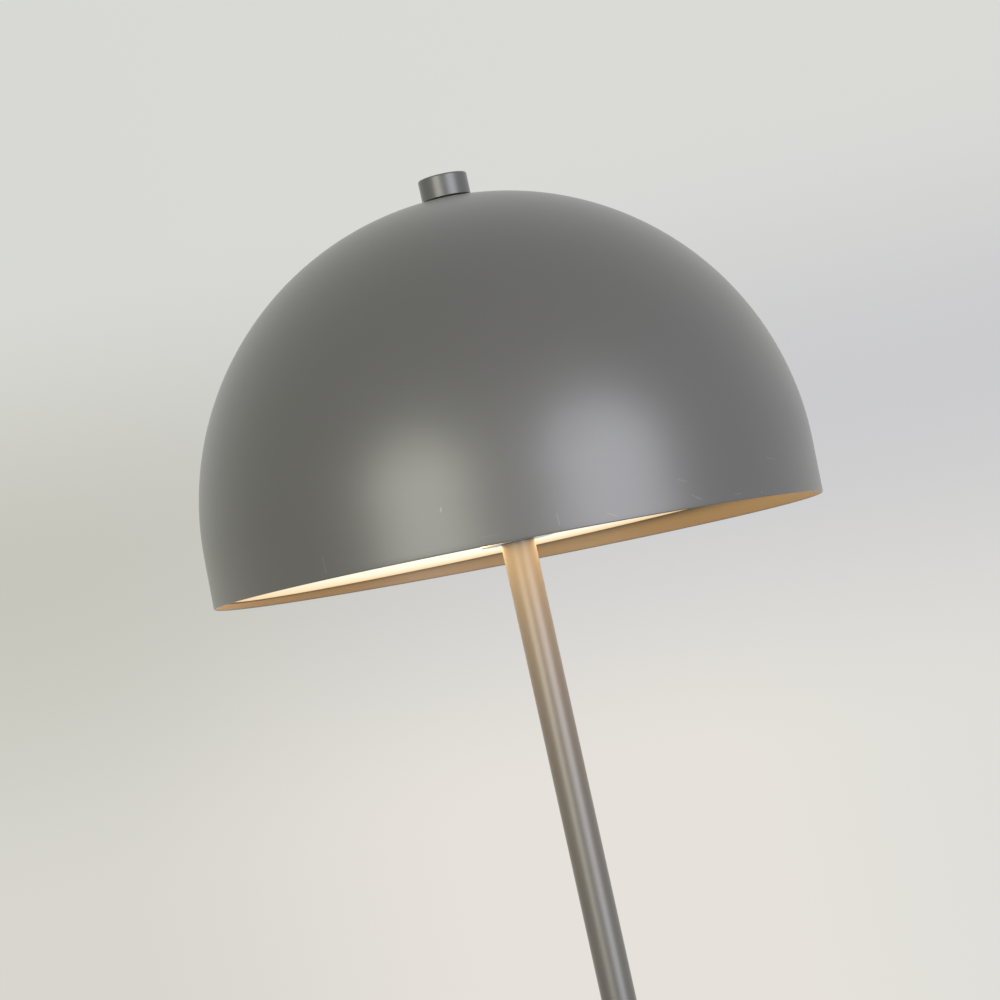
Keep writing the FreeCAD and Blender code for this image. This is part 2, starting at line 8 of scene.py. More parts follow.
import logging
import math
from dataclasses import dataclass, field
from enum import Enum
from typing import Callable, Mapping, Optional, Protocol, Sequence, Union

import bmesh
import bpy
from mathutils import Euler, Matrix, Vector, noise


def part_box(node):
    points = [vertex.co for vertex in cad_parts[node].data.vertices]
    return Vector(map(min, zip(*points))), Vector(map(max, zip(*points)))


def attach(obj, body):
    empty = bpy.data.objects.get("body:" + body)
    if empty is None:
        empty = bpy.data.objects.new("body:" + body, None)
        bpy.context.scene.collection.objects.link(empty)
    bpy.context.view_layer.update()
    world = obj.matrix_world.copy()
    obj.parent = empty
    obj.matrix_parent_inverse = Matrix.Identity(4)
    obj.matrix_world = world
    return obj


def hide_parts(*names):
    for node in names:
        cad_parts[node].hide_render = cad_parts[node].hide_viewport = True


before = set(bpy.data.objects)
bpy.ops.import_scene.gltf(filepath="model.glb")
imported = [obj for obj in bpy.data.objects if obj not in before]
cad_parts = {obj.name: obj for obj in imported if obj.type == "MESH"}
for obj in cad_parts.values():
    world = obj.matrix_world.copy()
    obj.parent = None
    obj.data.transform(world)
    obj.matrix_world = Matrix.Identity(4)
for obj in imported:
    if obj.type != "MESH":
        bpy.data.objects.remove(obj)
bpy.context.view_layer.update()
log = logging.getLogger("mushroom_lamp")

Colour = tuple[float, float, float, float]
Point = tuple[float, float, float]
Stops = tuple[tuple[float, Colour], ...]


def shown(red: float, green: float, blue: float) -> Colour:
    """Scene colour of a colour as it is seen.

    Args:
        red: Red from 0 to 255, as displayed.
        green: Green from 0 to 255, as displayed.
        blue: Blue from 0 to 255, as displayed.

    Returns:
        The linear colour with an alpha of 1.
    """
    parts = [value / 255 for value in (red, green, blue)]
    levels = [part / 12.92 if part < 0.04045 else ((part + 0.055) / 1.055) ** 2.4 for part in parts]
    return (levels[0], levels[1], levels[2], 1.0)


# --- shader maths ---------------------------------------------------------------------------


class Value:
    """One number in a shader; arithmetic on it adds Math nodes."""

    def __init__(self, graph: "Graph", socket: bpy.types.NodeSocket) -> None:
        """Keeps the graph and the socket that carries the number."""
        self.graph = graph
        self.socket = socket

    def __add__(self, other: "Number") -> "Value":
        """Sum."""
        return self.graph.maths("ADD", self, other)

    def __radd__(self, other: "Number") -> "Value":
        """Sum, with the number on the left."""
        return self.graph.maths("ADD", other, self)

    def __sub__(self, other: "Number") -> "Value":
        """Difference."""
        return self.graph.maths("SUBTRACT", self, other)

    def __rsub__(self, other: "Number") -> "Value":
        """Difference, with the number on the left."""
        return self.graph.maths("SUBTRACT", other, self)

    def __mul__(self, other: "Number") -> "Value":
        """Product."""
        return self.graph.maths("MULTIPLY", self, other)

    def __rmul__(self, other: "Number") -> "Value":
        """Product, with the number on the left."""
        return self.graph.maths("MULTIPLY", other, self)

    def __truediv__(self, other: "Number") -> "Value":
        """Quotient."""
        return self.graph.maths("DIVIDE", self, other)

    def __rtruediv__(self, other: "Number") -> "Value":
        """Quotient, with the number on the left."""
        return self.graph.maths("DIVIDE", other, self)

    def __pow__(self, other: "Number") -> "Value":
        """Power."""
        return self.graph.maths("POWER", self, other)

    def least(self, other: "Number") -> "Value":
        """The smaller of two numbers."""
        return self.graph.maths("MINIMUM", self, other)

    def most(self, other: "Number") -> "Value":
        """The larger of two numbers."""
        return self.graph.maths("MAXIMUM", self, other)

    def size(self) -> "Value":
        """The number without its sign."""
        return self.graph.maths("ABSOLUTE", self)

    def ease(self, start: float, end: float, low: float = 0.0, high: float = 1.0) -> "Value":
        """Smooth step from low to high while the number goes from start to end.

        Args:
            start: Number at which the step begins.
            end: Number at which it ends.
            low: Result before the step.
            high: Result after it.

        Returns:
            The eased number.
        """
        settings = {"interpolation_type": "SMOOTHSTEP", "clamp": True}
        sockets = {"Value": self, "From Min": start, "From Max": end, "To Min": low, "To Max": high}
        return self.graph.value(self.graph.node("ShaderNodeMapRange", settings, sockets))


Number = Union[Value, float, int]
Feed = Union[Value, bpy.types.NodeSocket, float, int, Sequence[float]]


class Graph:
    """Makes the nodes of one material or of the world."""

    def __init__(self, tree: bpy.types.NodeTree) -> None:
        """Empties the tree and keeps it."""
        tree.nodes.clear()
        self.tree = tree

    def node(
        self,
        kind: str,
        settings: Optional[Mapping[str, object]] = None,
        sockets: Optional[Mapping[Union[str, int], Feed]] = None,
    ) -> bpy.types.Node:
        """Adds a node, sets what it does, then fills its sockets.

        Args:
            kind: The node's type.
            settings: Its settings by name; "stops" holds a ramp's stops.
            sockets: Values or links for its inputs, by name or number.

        Returns:
            The new node.
        """
        made = self.tree.nodes.new(kind)
        for key, setting in (settings or {}).items():
            if key == "stops":
                self._place_stops(made.color_ramp, setting)
            else:
                setattr(made, key, setting)
        for key, feed in (sockets or {}).items():
            self._fill(made.inputs[key], feed)
        return made

    def _fill(self, socket: bpy.types.NodeSocket, feed: Feed) -> None:
        """Links or sets one input.

        Args:
            socket: The input.
            feed: What it gets.
        """
        if isinstance(feed, Value):
            self.tree.links.new(feed.socket, socket)
        elif isinstance(feed, bpy.types.NodeSocket):
            self.tree.links.new(feed, socket)
        else:
            socket.default_value = feed

    @staticmethod
    def _place_stops(ramp: bpy.types.ColorRamp, stops: Stops) -> None:
        """Puts a ramp's stops where they belong.

        Args:
            ramp: The ramp, emptied first.
            stops: Its positions and colours, in order.
        """
        while len(ramp.elements) > 1:
            ramp.elements.remove(ramp.elements[-1])
        ramp.elements[0].position, ramp.elements[0].color = stops[0]
        for position, colour in stops[1:]:
            ramp.elements.new(position).color = colour

    def value(self, made: bpy.types.Node, output: Union[int, str] = 0) -> Value:
        """A node's output as a number."""
        return Value(self, made.outputs[output])

    def maths(self, operation: str, first: Number, second: Number = 0.0) -> Value:
        """Result of a Math node."""
        return self.value(self.node("ShaderNodeMath", {"operation": operation}, {0: first, 1: second}))

    def vectors(self, operation: str, first: Feed, second: Feed = (0, 0, 0)) -> bpy.types.Node:
        """A Vector Math node."""
        return self.node("ShaderNodeVectorMath", {"operation": operation}, {0: first, 1: second})

    def mix(self, first: Feed, second: Feed, share: Feed) -> bpy.types.NodeSocket:
        """Colour that goes from the first to the second with the share."""
        return self.node("ShaderNodeMix", {"data_type": "RGBA"}, {0: share, 6: first, 7: second}).outputs[2]

    def scaled(self, colour: Feed, factor: Feed) -> bpy.types.NodeSocket:
        """Colour made lighter or darker by a factor."""
        made = self.vectors("SCALE", colour)
        self._fill(made.inputs["Scale"], factor)
        return made.outputs[0]

    def place(self) -> bpy.types.NodeSocket:
        """Place on the object, in its own frame."""
        return self.node("ShaderNodeTexCoord").outputs["Object"]

    def parts(self, vector: Feed) -> tuple[Value, Value, Value]:
        """The three numbers of a vector."""
        split = self.node("ShaderNodeSeparateXYZ", None, {0: vector})
        return self.value(split, 0), self.value(split, 1), self.value(split, 2)

    def stretched(self, vector: Feed, scale: Point) -> bpy.types.NodeSocket:
        """A vector with each part multiplied."""
        return self.vectors("MULTIPLY", vector, scale).outputs[0]

    def cloud(self, vector: Feed, scale: float, detail: float = 2.0, rough: float = 0.5) -> Value:
        """Noise from 0 to 1 with so many blotches in a metre, finer layers and strength of each."""
        sockets = {"Vector": vector, "Scale": scale, "Detail": detail, "Roughness": rough}
        return self.value(self.node("ShaderNodeTexNoise", None, sockets))

    def cells(self, vector: Feed, scale: float) -> Value:
        """Distance in a field of cells."""
        made = self.node("ShaderNodeTexVoronoi", {"feature": "F1"}, {"Vector": vector, "Scale": scale})
        return self.value(made, "Distance")

    def length(self, vector: Feed) -> Value:
        """Length of a vector."""
        return self.value(self.vectors("LENGTH", vector), "Value")

    def near(self, place: Feed, start: Point, end: Point) -> Value:
        """Distance from a short straight line.

        Args:
            place: Where it is measured.
            start: One end of the line.
            end: The other end.

        Returns:
            The distance.
        """
        along = Vector(end) - Vector(start)
        offset = self.vectors("SUBTRACT", place, start).outputs[0]
        share = self.value(self.vectors("DOT_PRODUCT", offset, tuple(along)), "Value")
        share = (share / max(along.length_squared, 1e-12)).most(0.0).least(1.0)
        foot = self.scaled(tuple(along), share)
        return self.length(self.vectors("SUBTRACT", offset, foot).outputs[0])

    def bump(self, height: Value, depth: float) -> bpy.types.NodeSocket:
        """Normal of a fine relief of so many metres, whose height goes from 0 to 1."""
        return self.node("ShaderNodeBump", None, {"Height": height, "Distance": depth, "Strength": 1.0}).outputs[0]

    def surface(self, colour: Feed, rough: Feed, normal: Feed, more: Optional[Mapping[str, Feed]] = None) -> None:
        """Ends a material in one Principled shader, with more inputs by name."""
        sockets = {"Base Color": colour, "Roughness": rough, "Normal": normal}
        shader = self.node("ShaderNodeBsdfPrincipled", None, sockets | dict(more or {}))
        self.node("ShaderNodeOutputMaterial", None, {"Surface": shader.outputs[0]})


# --- finishes -------------------------------------------------------------------------------


class Finish(Protocol):
    """Anything that paints a surface."""

    name: str

    def paint(self, graph: Graph) -> None:
        """Builds the material's nodes."""


def coated(finish: Finish) -> bpy.types.Material:
    """The material of a finish, made once.

    Args:
        finish: The finish to make.

    Returns:
        Its material.
    """
    found = bpy.data.materials.get(finish.name)
    if found is not None:
        return found
    material = bpy.data.materials.new(finish.name)
    material.use_nodes = True
    finish.paint(Graph(material.node_tree))
    return material


@dataclass(frozen=True)
class Scuff:
    """A thin mark on the lacquer, from one place to another in the piece's own frame."""

    start: Point
    end: Point
    width: float
    strength: float


@dataclass(frozen=True)
class Lacquer:
    """Satin sprayed lacquer with faint clouds, a fine orange peel and a few scuffs."""

    name: str
    colour: Colour = shown(84, 83.5, 81.5)
    roughness: float = 0.38
    coat: float = 0.9
    cloud: float = 0.05
    speck: float = 0.03
    peel: float = 0.000010
    peel_scale: float = 420.0
    stretch: Point = (1.0, 1.0, 1.0)
    scuffs: tuple[Scuff, ...] = ()
    chips: tuple[Scuff, ...] = ()
    # Heights between which the rim's lower edge gets painted shade, in patches.
    rim_shade: Optional[tuple[float, float]] = None
    lining: Optional[float] = None
    scuffed: Colour = shown(178, 176, 172)
    chipped: Colour = shown(52, 49, 46)
    # Colour of the painted shade along the rim's lower edge.
    patch_tone: Colour = shown(74, 71, 67)
    # Lighter, warmer colour of the inner face: painted warm light of the lamp.
    warm_lit_lining: Colour = shown(98, 92.5, 82.5)

    def paint(self, graph: Graph) -> None:
        """Builds the lacquer; inside the lining's radius the coat is thinner and duller, and the colour is lighter
        and warmer as painted warm light from the lamp.
        """
        place = graph.place()
        drawn = graph.stretched(place, self.stretch)
        wide = graph.cloud(drawn, 9.0, 3.0, 0.55)
        fine = graph.cloud(drawn, 1100.0, 1.0)
        shade = 1 + (wide - 0.5) * self.cloud * 2 + (fine - 0.5) * self.speck * 2
        colour = graph.scaled(self.colour[:3], shade)
        rough = self.roughness + (graph.cloud(drawn, 35.0, 3.0) - 0.5) * 0.06
        light = self._marks(graph, place, self.scuffs)
        if light is not None:
            colour = graph.mix(colour, self.scuffed, light)
            rough = rough + light * 0.15
        dark = self._marks(graph, place, self.chips)
        if dark is not None:
            colour = graph.mix(colour, self.chipped, dark)
        # Painted shade: the rim's lower edge is made darker in patches, standing for the shade on the rim's rounding.
        if self.rim_shade is not None:
            low, high = self.rim_shade
            height = graph.parts(place)[2]
            levels = height.ease(high, low) * graph.cloud(place, 260.0, 3.0, 0.7).ease(0.45, 0.7)
            colour = graph.mix(colour, self.patch_tone, levels * 0.55)
        coat: Union[Value, float] = self.coat
        # Inside, the coat is thinner and duller, and the colour takes painted warm lamp light.
        if self.lining is not None:
            across, deep, high = graph.parts(place)
            out = (across ** 2 + deep ** 2 + high.most(0.0) ** 2) ** 0.5
            inside = out.ease(self.lining, self.lining - 0.0003)
            coat = self.coat - inside * 0.5
            rough = rough + inside * 0.1
            colour = graph.mix(colour, self.warm_lit_lining, inside)
        normal = graph.bump(graph.cloud(drawn, self.peel_scale, 2.0, 0.4), self.peel)
        graph.surface(colour, rough, normal, {"Coat Weight": coat, "Coat Roughness": self.roughness})

    @staticmethod
    def _marks(graph: Graph, place: Feed, scuffs: Sequence[Scuff]) -> Optional[Value]:
        """Strength of the scuffs at a place.

        Args:
            graph: The material's graph.
            place: Place on the object.
            scuffs: The scuffs.

        Returns:
            The strength, or nothing where there are no scuffs.
        """
        total: Optional[Value] = None
        for scuff in scuffs:
            here = graph.near(place, scuff.start, scuff.end).ease(scuff.width, 0.2 * scuff.width) * scuff.strength
            total = here if total is None else total.most(here)
        if total is None:
            return None
        return total * graph.cloud(place, 900.0, 2.0).ease(0.3, 0.55, 0.45, 1.0)


@dataclass(frozen=True)
class Opal:
    """Opal acrylic that is lit from behind, brighter towards its middle."""

    name: str
    stops: Stops
    reach: float
    body: Colour = shown(120, 116, 108)
    centre: Point = (0.0, 0.0, 0.0)
    flat: bool = True
    roughness: float = 0.42

    def paint(self, graph: Graph) -> None:
        """Builds the lit acrylic."""
        place = graph.place()
        offset = graph.vectors("SUBTRACT", place, self.centre).outputs[0]
        if self.flat:
            offset = graph.stretched(offset, (1.0, 1.0, 0.0))
        far = graph.length(offset)
        ramp = graph.node("ShaderNodeValToRGB", {"stops": self.stops}, {0: far / self.reach})
        haze = 1 + (graph.cloud(place, 14.0, 2.0) - 0.5) * 0.03
        glow = graph.scaled(ramp.outputs[0], haze)
        rough = self.roughness + (graph.cloud(place, 60.0, 3.0) - 0.5) * 0.08
        normal = graph.bump(graph.cloud(place, 700.0, 2.0), 0.000006)
        body = graph.scaled(self.body[:3], 1 + (graph.cloud(place, 30.0, 2.0) - 0.5) * 0.04)
        graph.surface(body, rough, normal, {"Emission Color": glow, "Emission Strength": 1.0})


class Grain(Enum):
    """How a metal's surface was left."""

    PLATED = "plated"
    TURNED = "turned"
    ROLLED = "rolled"


@dataclass(frozen=True)
class Metal:
    """Bare or plated metal with the marks of how it was made."""

    name: str
    colour: Colour = shown(190, 190, 188)
    roughness: float = 0.32
    grain: Grain = Grain.PLATED
    depth: float = 0.000006

    def paint(self, graph: Graph) -> None:
        """Builds the metal."""
        place = graph.place()
        across, deep, high = graph.parts(place)
        if self.grain is Grain.TURNED:
            ring = (across ** 2 + deep ** 2) ** 0.5
            joined = graph.node("ShaderNodeCombineXYZ", None, {0: ring, 1: high, 2: 0.0}).outputs[0]
            marks = graph.cloud(joined, 2600.0, 2.0, 0.6)
            tone = graph.cloud(joined, 320.0, 2.0)
        elif self.grain is Grain.ROLLED:
            drawn = graph.stretched(place, (1.0, 1.0, 9.0))
            marks = graph.cloud(drawn, 900.0, 2.0, 0.6)
            tone = graph.cloud(drawn, 90.0, 3.0)
        else:
            marks = graph.cells(place, 700.0)
            tone = graph.cloud(place, 130.0, 4.0, 0.6)
        colour = graph.scaled(self.colour[:3], tone.ease(0.2, 0.8, 0.86, 1.06))
        dull = graph.cloud(place, 45.0, 4.0, 0.6).ease(0.35, 0.75)
        rough = self.roughness + dull * 0.12 + (marks - 0.5) * 0.08
        normal = graph.bump(marks, self.depth)
        graph.surface(colour, rough, normal, {"Metallic": 1.0})


@dataclass(frozen=True)
class RawIron:
    """Iron as it comes from the mould, dark with a coarse skin and a little rust."""

    name: str
    colour: Colour = shown(82, 80, 78)
    rust: Colour = shown(104, 72, 50)

    def paint(self, graph: Graph) -> None:
        """Builds the iron."""
        place = graph.place()
        coarse = graph.cloud(place, 350.0, 5.0, 0.65)
        pits = graph.cells(place, 420.0).ease(0.05, 0.35)
        rusty = graph.cloud(place, 38.0, 5.0, 0.7).ease(0.56, 0.72)
        colour = graph.mix(graph.scaled(self.colour[:3], 0.75 + coarse * 0.5), self.rust, rusty * 0.7)
        rough = 0.62 + rusty * 0.25 + (coarse - 0.5) * 0.1
        normal = graph.bump(coarse * 0.7 + pits * 0.3, 0.00018)
        graph.surface(colour, rough, normal, {"Metallic": 1 - rusty * 0.8})


@dataclass(frozen=True)
class Plastic:
    """Moulded plastic with a fine spark-eroded texture."""

    name: str
    colour: Colour = shown(38, 38, 38)
    roughness: float = 0.5
    grain: float = 1500.0
    depth: float = 0.000012

    def paint(self, graph: Graph) -> None:
        """Builds the plastic."""
        place = graph.place()
        skin = graph.cloud(place, self.grain, 3.0, 0.6)
        flow = graph.cloud(place, 40.0, 3.0)
        colour = graph.scaled(self.colour[:3], 1 + (flow - 0.5) * 0.12 + (skin - 0.5) * 0.06)
        rough = self.roughness + (flow - 0.5) * 0.12 + (skin - 0.5) * 0.06
        graph.surface(colour, rough, graph.bump(skin, self.depth))


@dataclass(frozen=True)
class Foam:
    """Closed-cell foam or rubber, matt, with fine open pores."""

    name: str
    colour: Colour = shown(44, 43, 42)
    pores: float = 1400.0
    depth: float = 0.00012
    roughness: float = 0.85

    def paint(self, graph: Graph) -> None:
        """Builds the foam."""
        place = graph.place()
        pore = graph.cells(place, self.pores).ease(0.1, 0.5)
        patch_tone = graph.cloud(place, 60.0, 4.0, 0.6)
        colour = graph.scaled(self.colour[:3], (0.65 + pore * 0.35) * (0.9 + patch_tone * 0.2))
        rough = self.roughness + (patch_tone - 0.5) * 0.1
        graph.surface(colour, rough, graph.bump(pore, self.depth))


@dataclass(frozen=True)
class LitBoard:
    """White solder mask with small yellow light chips in a ring."""

    name: str
    colour: Colour = shown(236, 236, 232)
    chip: Colour = shown(238, 205, 96)
    chips: int = 10
    ring: float = 0.017

    def paint(self, graph: Graph) -> None:
        """Builds the board."""
        place = graph.place()
        across, deep, _ = graph.parts(place)
        turn = graph.maths("ARCTAN2", deep, across) * (self.chips / (2 * math.pi))
        step = graph.maths("FRACT", turn + 0.5) - 0.5
        along = step.size() * (2 * math.pi * self.ring / self.chips)
        out = ((across ** 2 + deep ** 2) ** 0.5 - self.ring).size()
        chip = along.most(out).ease(0.0017, 0.0014)
        colour = graph.mix(graph.scaled(self.colour[:3], 0.96 + graph.cloud(place, 200.0) * 0.06), self.chip, chip)
        graph.surface(colour, 0.45 - chip * 0.15, graph.bump(chip, 0.0003))


class Coats:
    """The lamp's finishes."""

    BODY = Lacquer("grey_lacquer_body")
    TUBE = Lacquer("grey_lacquer_tube", stretch=(1.0, 1.0, 0.12), peel=0.000008, peel_scale=500.0)
    KNOB = Lacquer("grey_lacquer_turned", colour=shown(84, 84, 83), roughness=0.36, peel=0.000006)
    FLANGE = Lacquer("white_lacquer_flange", colour=shown(236, 232, 222), peel=0.000006)
    RUBBER = Foam("dark_rubber", colour=shown(40, 39, 37), pores=2600.0, depth=0.00003, roughness=0.7)
    FOAM = Foam("pad_foam")
    ZINC = Metal("zinc_plate", colour=shown(186, 188, 190), roughness=0.30)
    IRON = RawIron("raw_iron")
    PLUG = Metal("turned_aluminium", colour=shown(205, 206, 208), roughness=0.26, grain=Grain.TURNED)
    JACKET = Plastic("lead_jacket", colour=shown(52, 51, 50), roughness=0.55, grain=900.0)
    CORE = Plastic("core_jacket", colour=shown(126, 92, 62), roughness=0.45, grain=900.0)
    WHITE = Plastic("white_plastic", colour=shown(226, 225, 219), roughness=0.42)
    BLACK = Plastic("black_plastic", colour=shown(36, 36, 37), roughness=0.46)
    BRASS = Metal("contact_brass", colour=shown(214, 184, 116), roughness=0.28, grain=Grain.ROLLED)
    CAP = Metal("cap_aluminium", colour=shown(208, 209, 210), roughness=0.34, grain=Grain.ROLLED)
    BOARD = LitBoard("board_white")


# --- meshes ---------------------------------------------------------------------------------


@dataclass(frozen=True)
class Corner:
    """A corner of a turned outline: radius, height and the fillet that rounds it."""

    r: float
    z: float
    fillet: float = 0.0


def rounded(corners: Sequence[Corner], steps: int = 5) -> list[Corner]:
    """An outline with its fillets drawn as short arcs.

    Args:
        corners: Corners of a closed outline, in order.
        steps: Parts of each arc.

    Returns:
        Corners with no fillets left.
    """
    out: list[Corner] = []
    for number, corner in enumerate(corners):
        if corner.fillet <= 0:
            out.append(corner)
            continue
        before = corners[number - 1]
        after = corners[(number + 1) % len(corners)]
        here = Vector((corner.r, corner.z))
        back = (Vector((before.r, before.z)) - here).normalized()
        ahead = (Vector((after.r, after.z)) - here).normalized()
        half = back.angle(ahead) / 2
        reach = corner.fillet / math.tan(half)
        middle = here + (back + ahead).normalized() * (corner.fillet / math.sin(half))
        first = here + back * reach - middle
        last = here + ahead * reach - middle
        beyond = reach + 0.3 * corner.fillet
        sweep = first.angle_signed(last)
        turns = [Matrix.Rotation(-sweep * step / steps, 2) for step in range(steps + 1)]
        bend = [middle + turn @ first for turn in turns]
        out += [Corner(*spot) for spot in (here + back * beyond, *bend, here + ahead * beyond)]
    return out


def plate(hole: float, radius: float, low: float, high: float, under: float, over: float) -> list[Corner]:
    """Outline of a flat disc, with a fillet under and over its outer edge."""
    return rounded([Corner(hole, low), Corner(radius, low, under), Corner(radius, high, over), Corner(hole, high)])


def arc(radius: float, start: float, end: float, steps: int, r: float = 0.0, z: float = 0.0) -> list[Corner]:
    """Corners on an arc about (r, z), from one angle above the level to another, in degrees."""
    angles = [math.radians(start + (end - start) * step / steps) for step in range(steps + 1)]
    return [Corner(r + radius * math.cos(angle), z + radius * math.sin(angle)) for angle in angles]


def rise(r: float, low: float, high: float, steps: int) -> list[Corner]:
    """Corners up a straight wall, both ends included."""
    return [Corner(r, low + (high - low) * step / steps) for step in range(steps + 1)]


Relief = Callable[[float, float, float], tuple[float, float]]


@dataclass(frozen=True)
class Thread:
    """A rolled thread on an outline: it pulls in the points between two heights."""

    low: float
    high: float
    pitch: float
    depth: float
    near: float = 0.0

    def __call__(self, angle: float, r: float, z: float) -> tuple[float, float]:
        """Moves a point of the outline.

        Args:
            angle: Angle round the axis.
            r: The point's radius.
            z: Its height.

        Returns:
            The new radius and height.
        """
        if not (self.low < z < self.high and r > self.near):
            return r, z
        phase = (z - self.low) / self.pitch - angle / (2 * math.pi)
        wave = 0.5 - 0.5 * math.cos(2 * math.pi * phase)
        run = min(1.0, (z - self.low) / self.pitch, (self.high - z) / self.pitch)
        return r - self.depth * (1 - wave * run), z


@dataclass(frozen=True)
class Flutes:
    """Grip flutes round a wall."""

    low: float
    high: float
    count: int
    depth: float
    near: float

    def __call__(self, angle: float, r: float, z: float) -> tuple[float, float]:
        """Moves a point of the outline inwards where a flute is.

        Args:
            angle: Angle round the axis.
            r: The point's radius.
            z: Its height.

        Returns:
            The new radius and height.
        """
        if not (self.low < z < self.high and r > self.near):
            return r, z
        run = min(1.0, (z - self.low) / 0.0015, (self.high - z) / 0.0015)
        wave = max(0.0, math.cos(angle * self.count)) ** 0.7
        return r - self.depth * wave * run, z


class Shape:
    """A mesh in the making, in metres."""

    def __init__(self) -> None:
        """Starts with nothing."""
        self.mesh = bmesh.new()

    def turn(
        self,
        corners: Sequence[Corner],
        sides: int = 96,
        relief: Optional[Relief] = None,
        centre: tuple[float, float] = (0.0, 0.0),
        closed: bool = True,
    ) -> "Shape":
        """Turns an outline about an upright axis.

        Args:
            corners: The outline, in order.
            sides: Facets round the axis.
            relief: Moves points after they are placed.
            centre: Where the axis stands.
            closed: Whether the outline's last corner joins its first.

        Returns:
            The shape itself.
        """
        rings: list[list[bmesh.types.BMVert]] = []
        for corner in corners:
            count = 1 if corner.r < 1e-7 else sides
            ring = []
            for side in range(count):
                angle = 2 * math.pi * side / sides
                r, z = relief(angle, corner.r, corner.z) if relief else (corner.r, corner.z)
                spot = (centre[0] + r * math.cos(angle), centre[1] + r * math.sin(angle), z)
                ring.append(self.mesh.verts.new(spot))
            rings.append(ring)
        for ring, ahead in zip(rings, rings[1:] + (rings[:1] if closed else [])):
            self._join(ring, ahead)
        return self

    def _join(self, ring: Sequence[bmesh.types.BMVert], ahead: Sequence[bmesh.types.BMVert]) -> None:
        """Fills the band between two rings.

        Args:
            ring: Points of the first ring, or one point.
            ahead: Points of the next.
        """
        sides = max(len(ring), len(ahead))
        if sides == 1:
            return
        for side in range(sides):
            here, there = side % len(ring), (side + 1) % len(ring)
            over, beyond = side % len(ahead), (side + 1) % len(ahead)
            band = [ring[here], ring[there], ahead[beyond], ahead[over]]
            self.mesh.faces.new(list(dict.fromkeys(band)))

    def move(self, change: Callable[[Vector], Vector]) -> "Shape":
        """Moves every point by a rule."""
        for vert in self.mesh.verts:
            vert.co = change(vert.co.copy())
        return self

    def place(self, matrix: Matrix) -> "Shape":
        """Moves or turns the whole shape."""
        self.mesh.transform(matrix)
        return self

    def made(self, name: str, sharp: float = 40.0) -> bpy.types.Object:
        """The finished object, shaded smooth but for its sharp edges.

        Args:
            name: Name of the piece.
            sharp: Edges that turn more than this, in degrees, stay sharp.

        Returns:
            The object, linked to the scene.
        """
        bmesh.ops.remove_doubles(self.mesh, verts=self.mesh.verts, dist=1e-8)
        bmesh.ops.recalc_face_normals(self.mesh, faces=self.mesh.faces)
        data = bpy.data.meshes.new(name)
        self.mesh.to_mesh(data)
        self.mesh.free()
        smooth(data, sharp)
        made = bpy.data.objects.new(name, data)
        bpy.context.scene.collection.objects.link(made)
        return made


def smooth(data: bpy.types.Mesh, sharp: float) -> None:
    """Shades a mesh smooth but for edges that turn more than so many degrees."""
    data.polygons.foreach_set("use_smooth", [True] * len(data.polygons))
    data.set_sharp_from_angle(angle=math.radians(sharp))
    data.update()


def cut(piece: bpy.types.Object, tool: bpy.types.Object, sharp: float = 40.0) -> bpy.types.Object:
    """Cuts one shape out of another and removes the tool.

    Args:
        piece: What is cut.
        tool: What is taken away.
        sharp: Edges that turn more than this, in degrees, stay sharp.

    Returns:
        The cut piece.
    """
    action = piece.modifiers.new("cut", "BOOLEAN")
    action.operation = "DIFFERENCE"
    action.solver = "EXACT"
    action.object = tool
    ready = piece.evaluated_get(bpy.context.evaluated_depsgraph_get())
    data = bpy.data.meshes.new_from_object(ready)
    data.name = piece.data.name + "_cut"
    piece.modifiers.clear()
    piece.data = data
    bpy.data.objects.remove(tool)
    smooth(data, sharp)
    return piece


# --- putting pieces in their places ---------------------------------------------------------


class Body(Enum):
    """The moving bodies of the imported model."""

    COLUMN = "column"
    BULB = "bulb"
    CROWN = "crown"
    DOME = "dome"
    SPRING = "spring"
    KNOB = "knob"


def settle(piece: bpy.types.Object, finish: Finish, body: Body, node: str) -> bpy.types.Object:
    """Dresses a piece and hangs it on its body.

    Args:
        piece: The new piece, in its place.
        finish: Its finish.
        body: The body that it moves with.
        node: The node that it stands for.

    Returns:
        The piece.
    """
    piece.data.materials.clear()
    piece.data.materials.append(coated(finish))
    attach(piece, body.value)
    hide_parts(node)
    log.info("%-22s %-8s for %s, %d points", piece.name, body.value, node, len(piece.data.vertices))
    return piece


def dress(finish: Finish, *nodes: str) -> None:
    """Gives a finish to nodes that keep their own shape.

    Args:
        finish: The finish.
        *nodes: Names of the nodes.
    """
    for name in nodes:
        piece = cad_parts[name]
        for slot in piece.material_slots:
            slot.material = coated(finish)
        if not piece.material_slots:
            piece.data.materials.append(coated(finish))
        log.info("%-22s keeps its shape, in %s", name, finish.name)


# --- the lamp -------------------------------------------------------------------------------


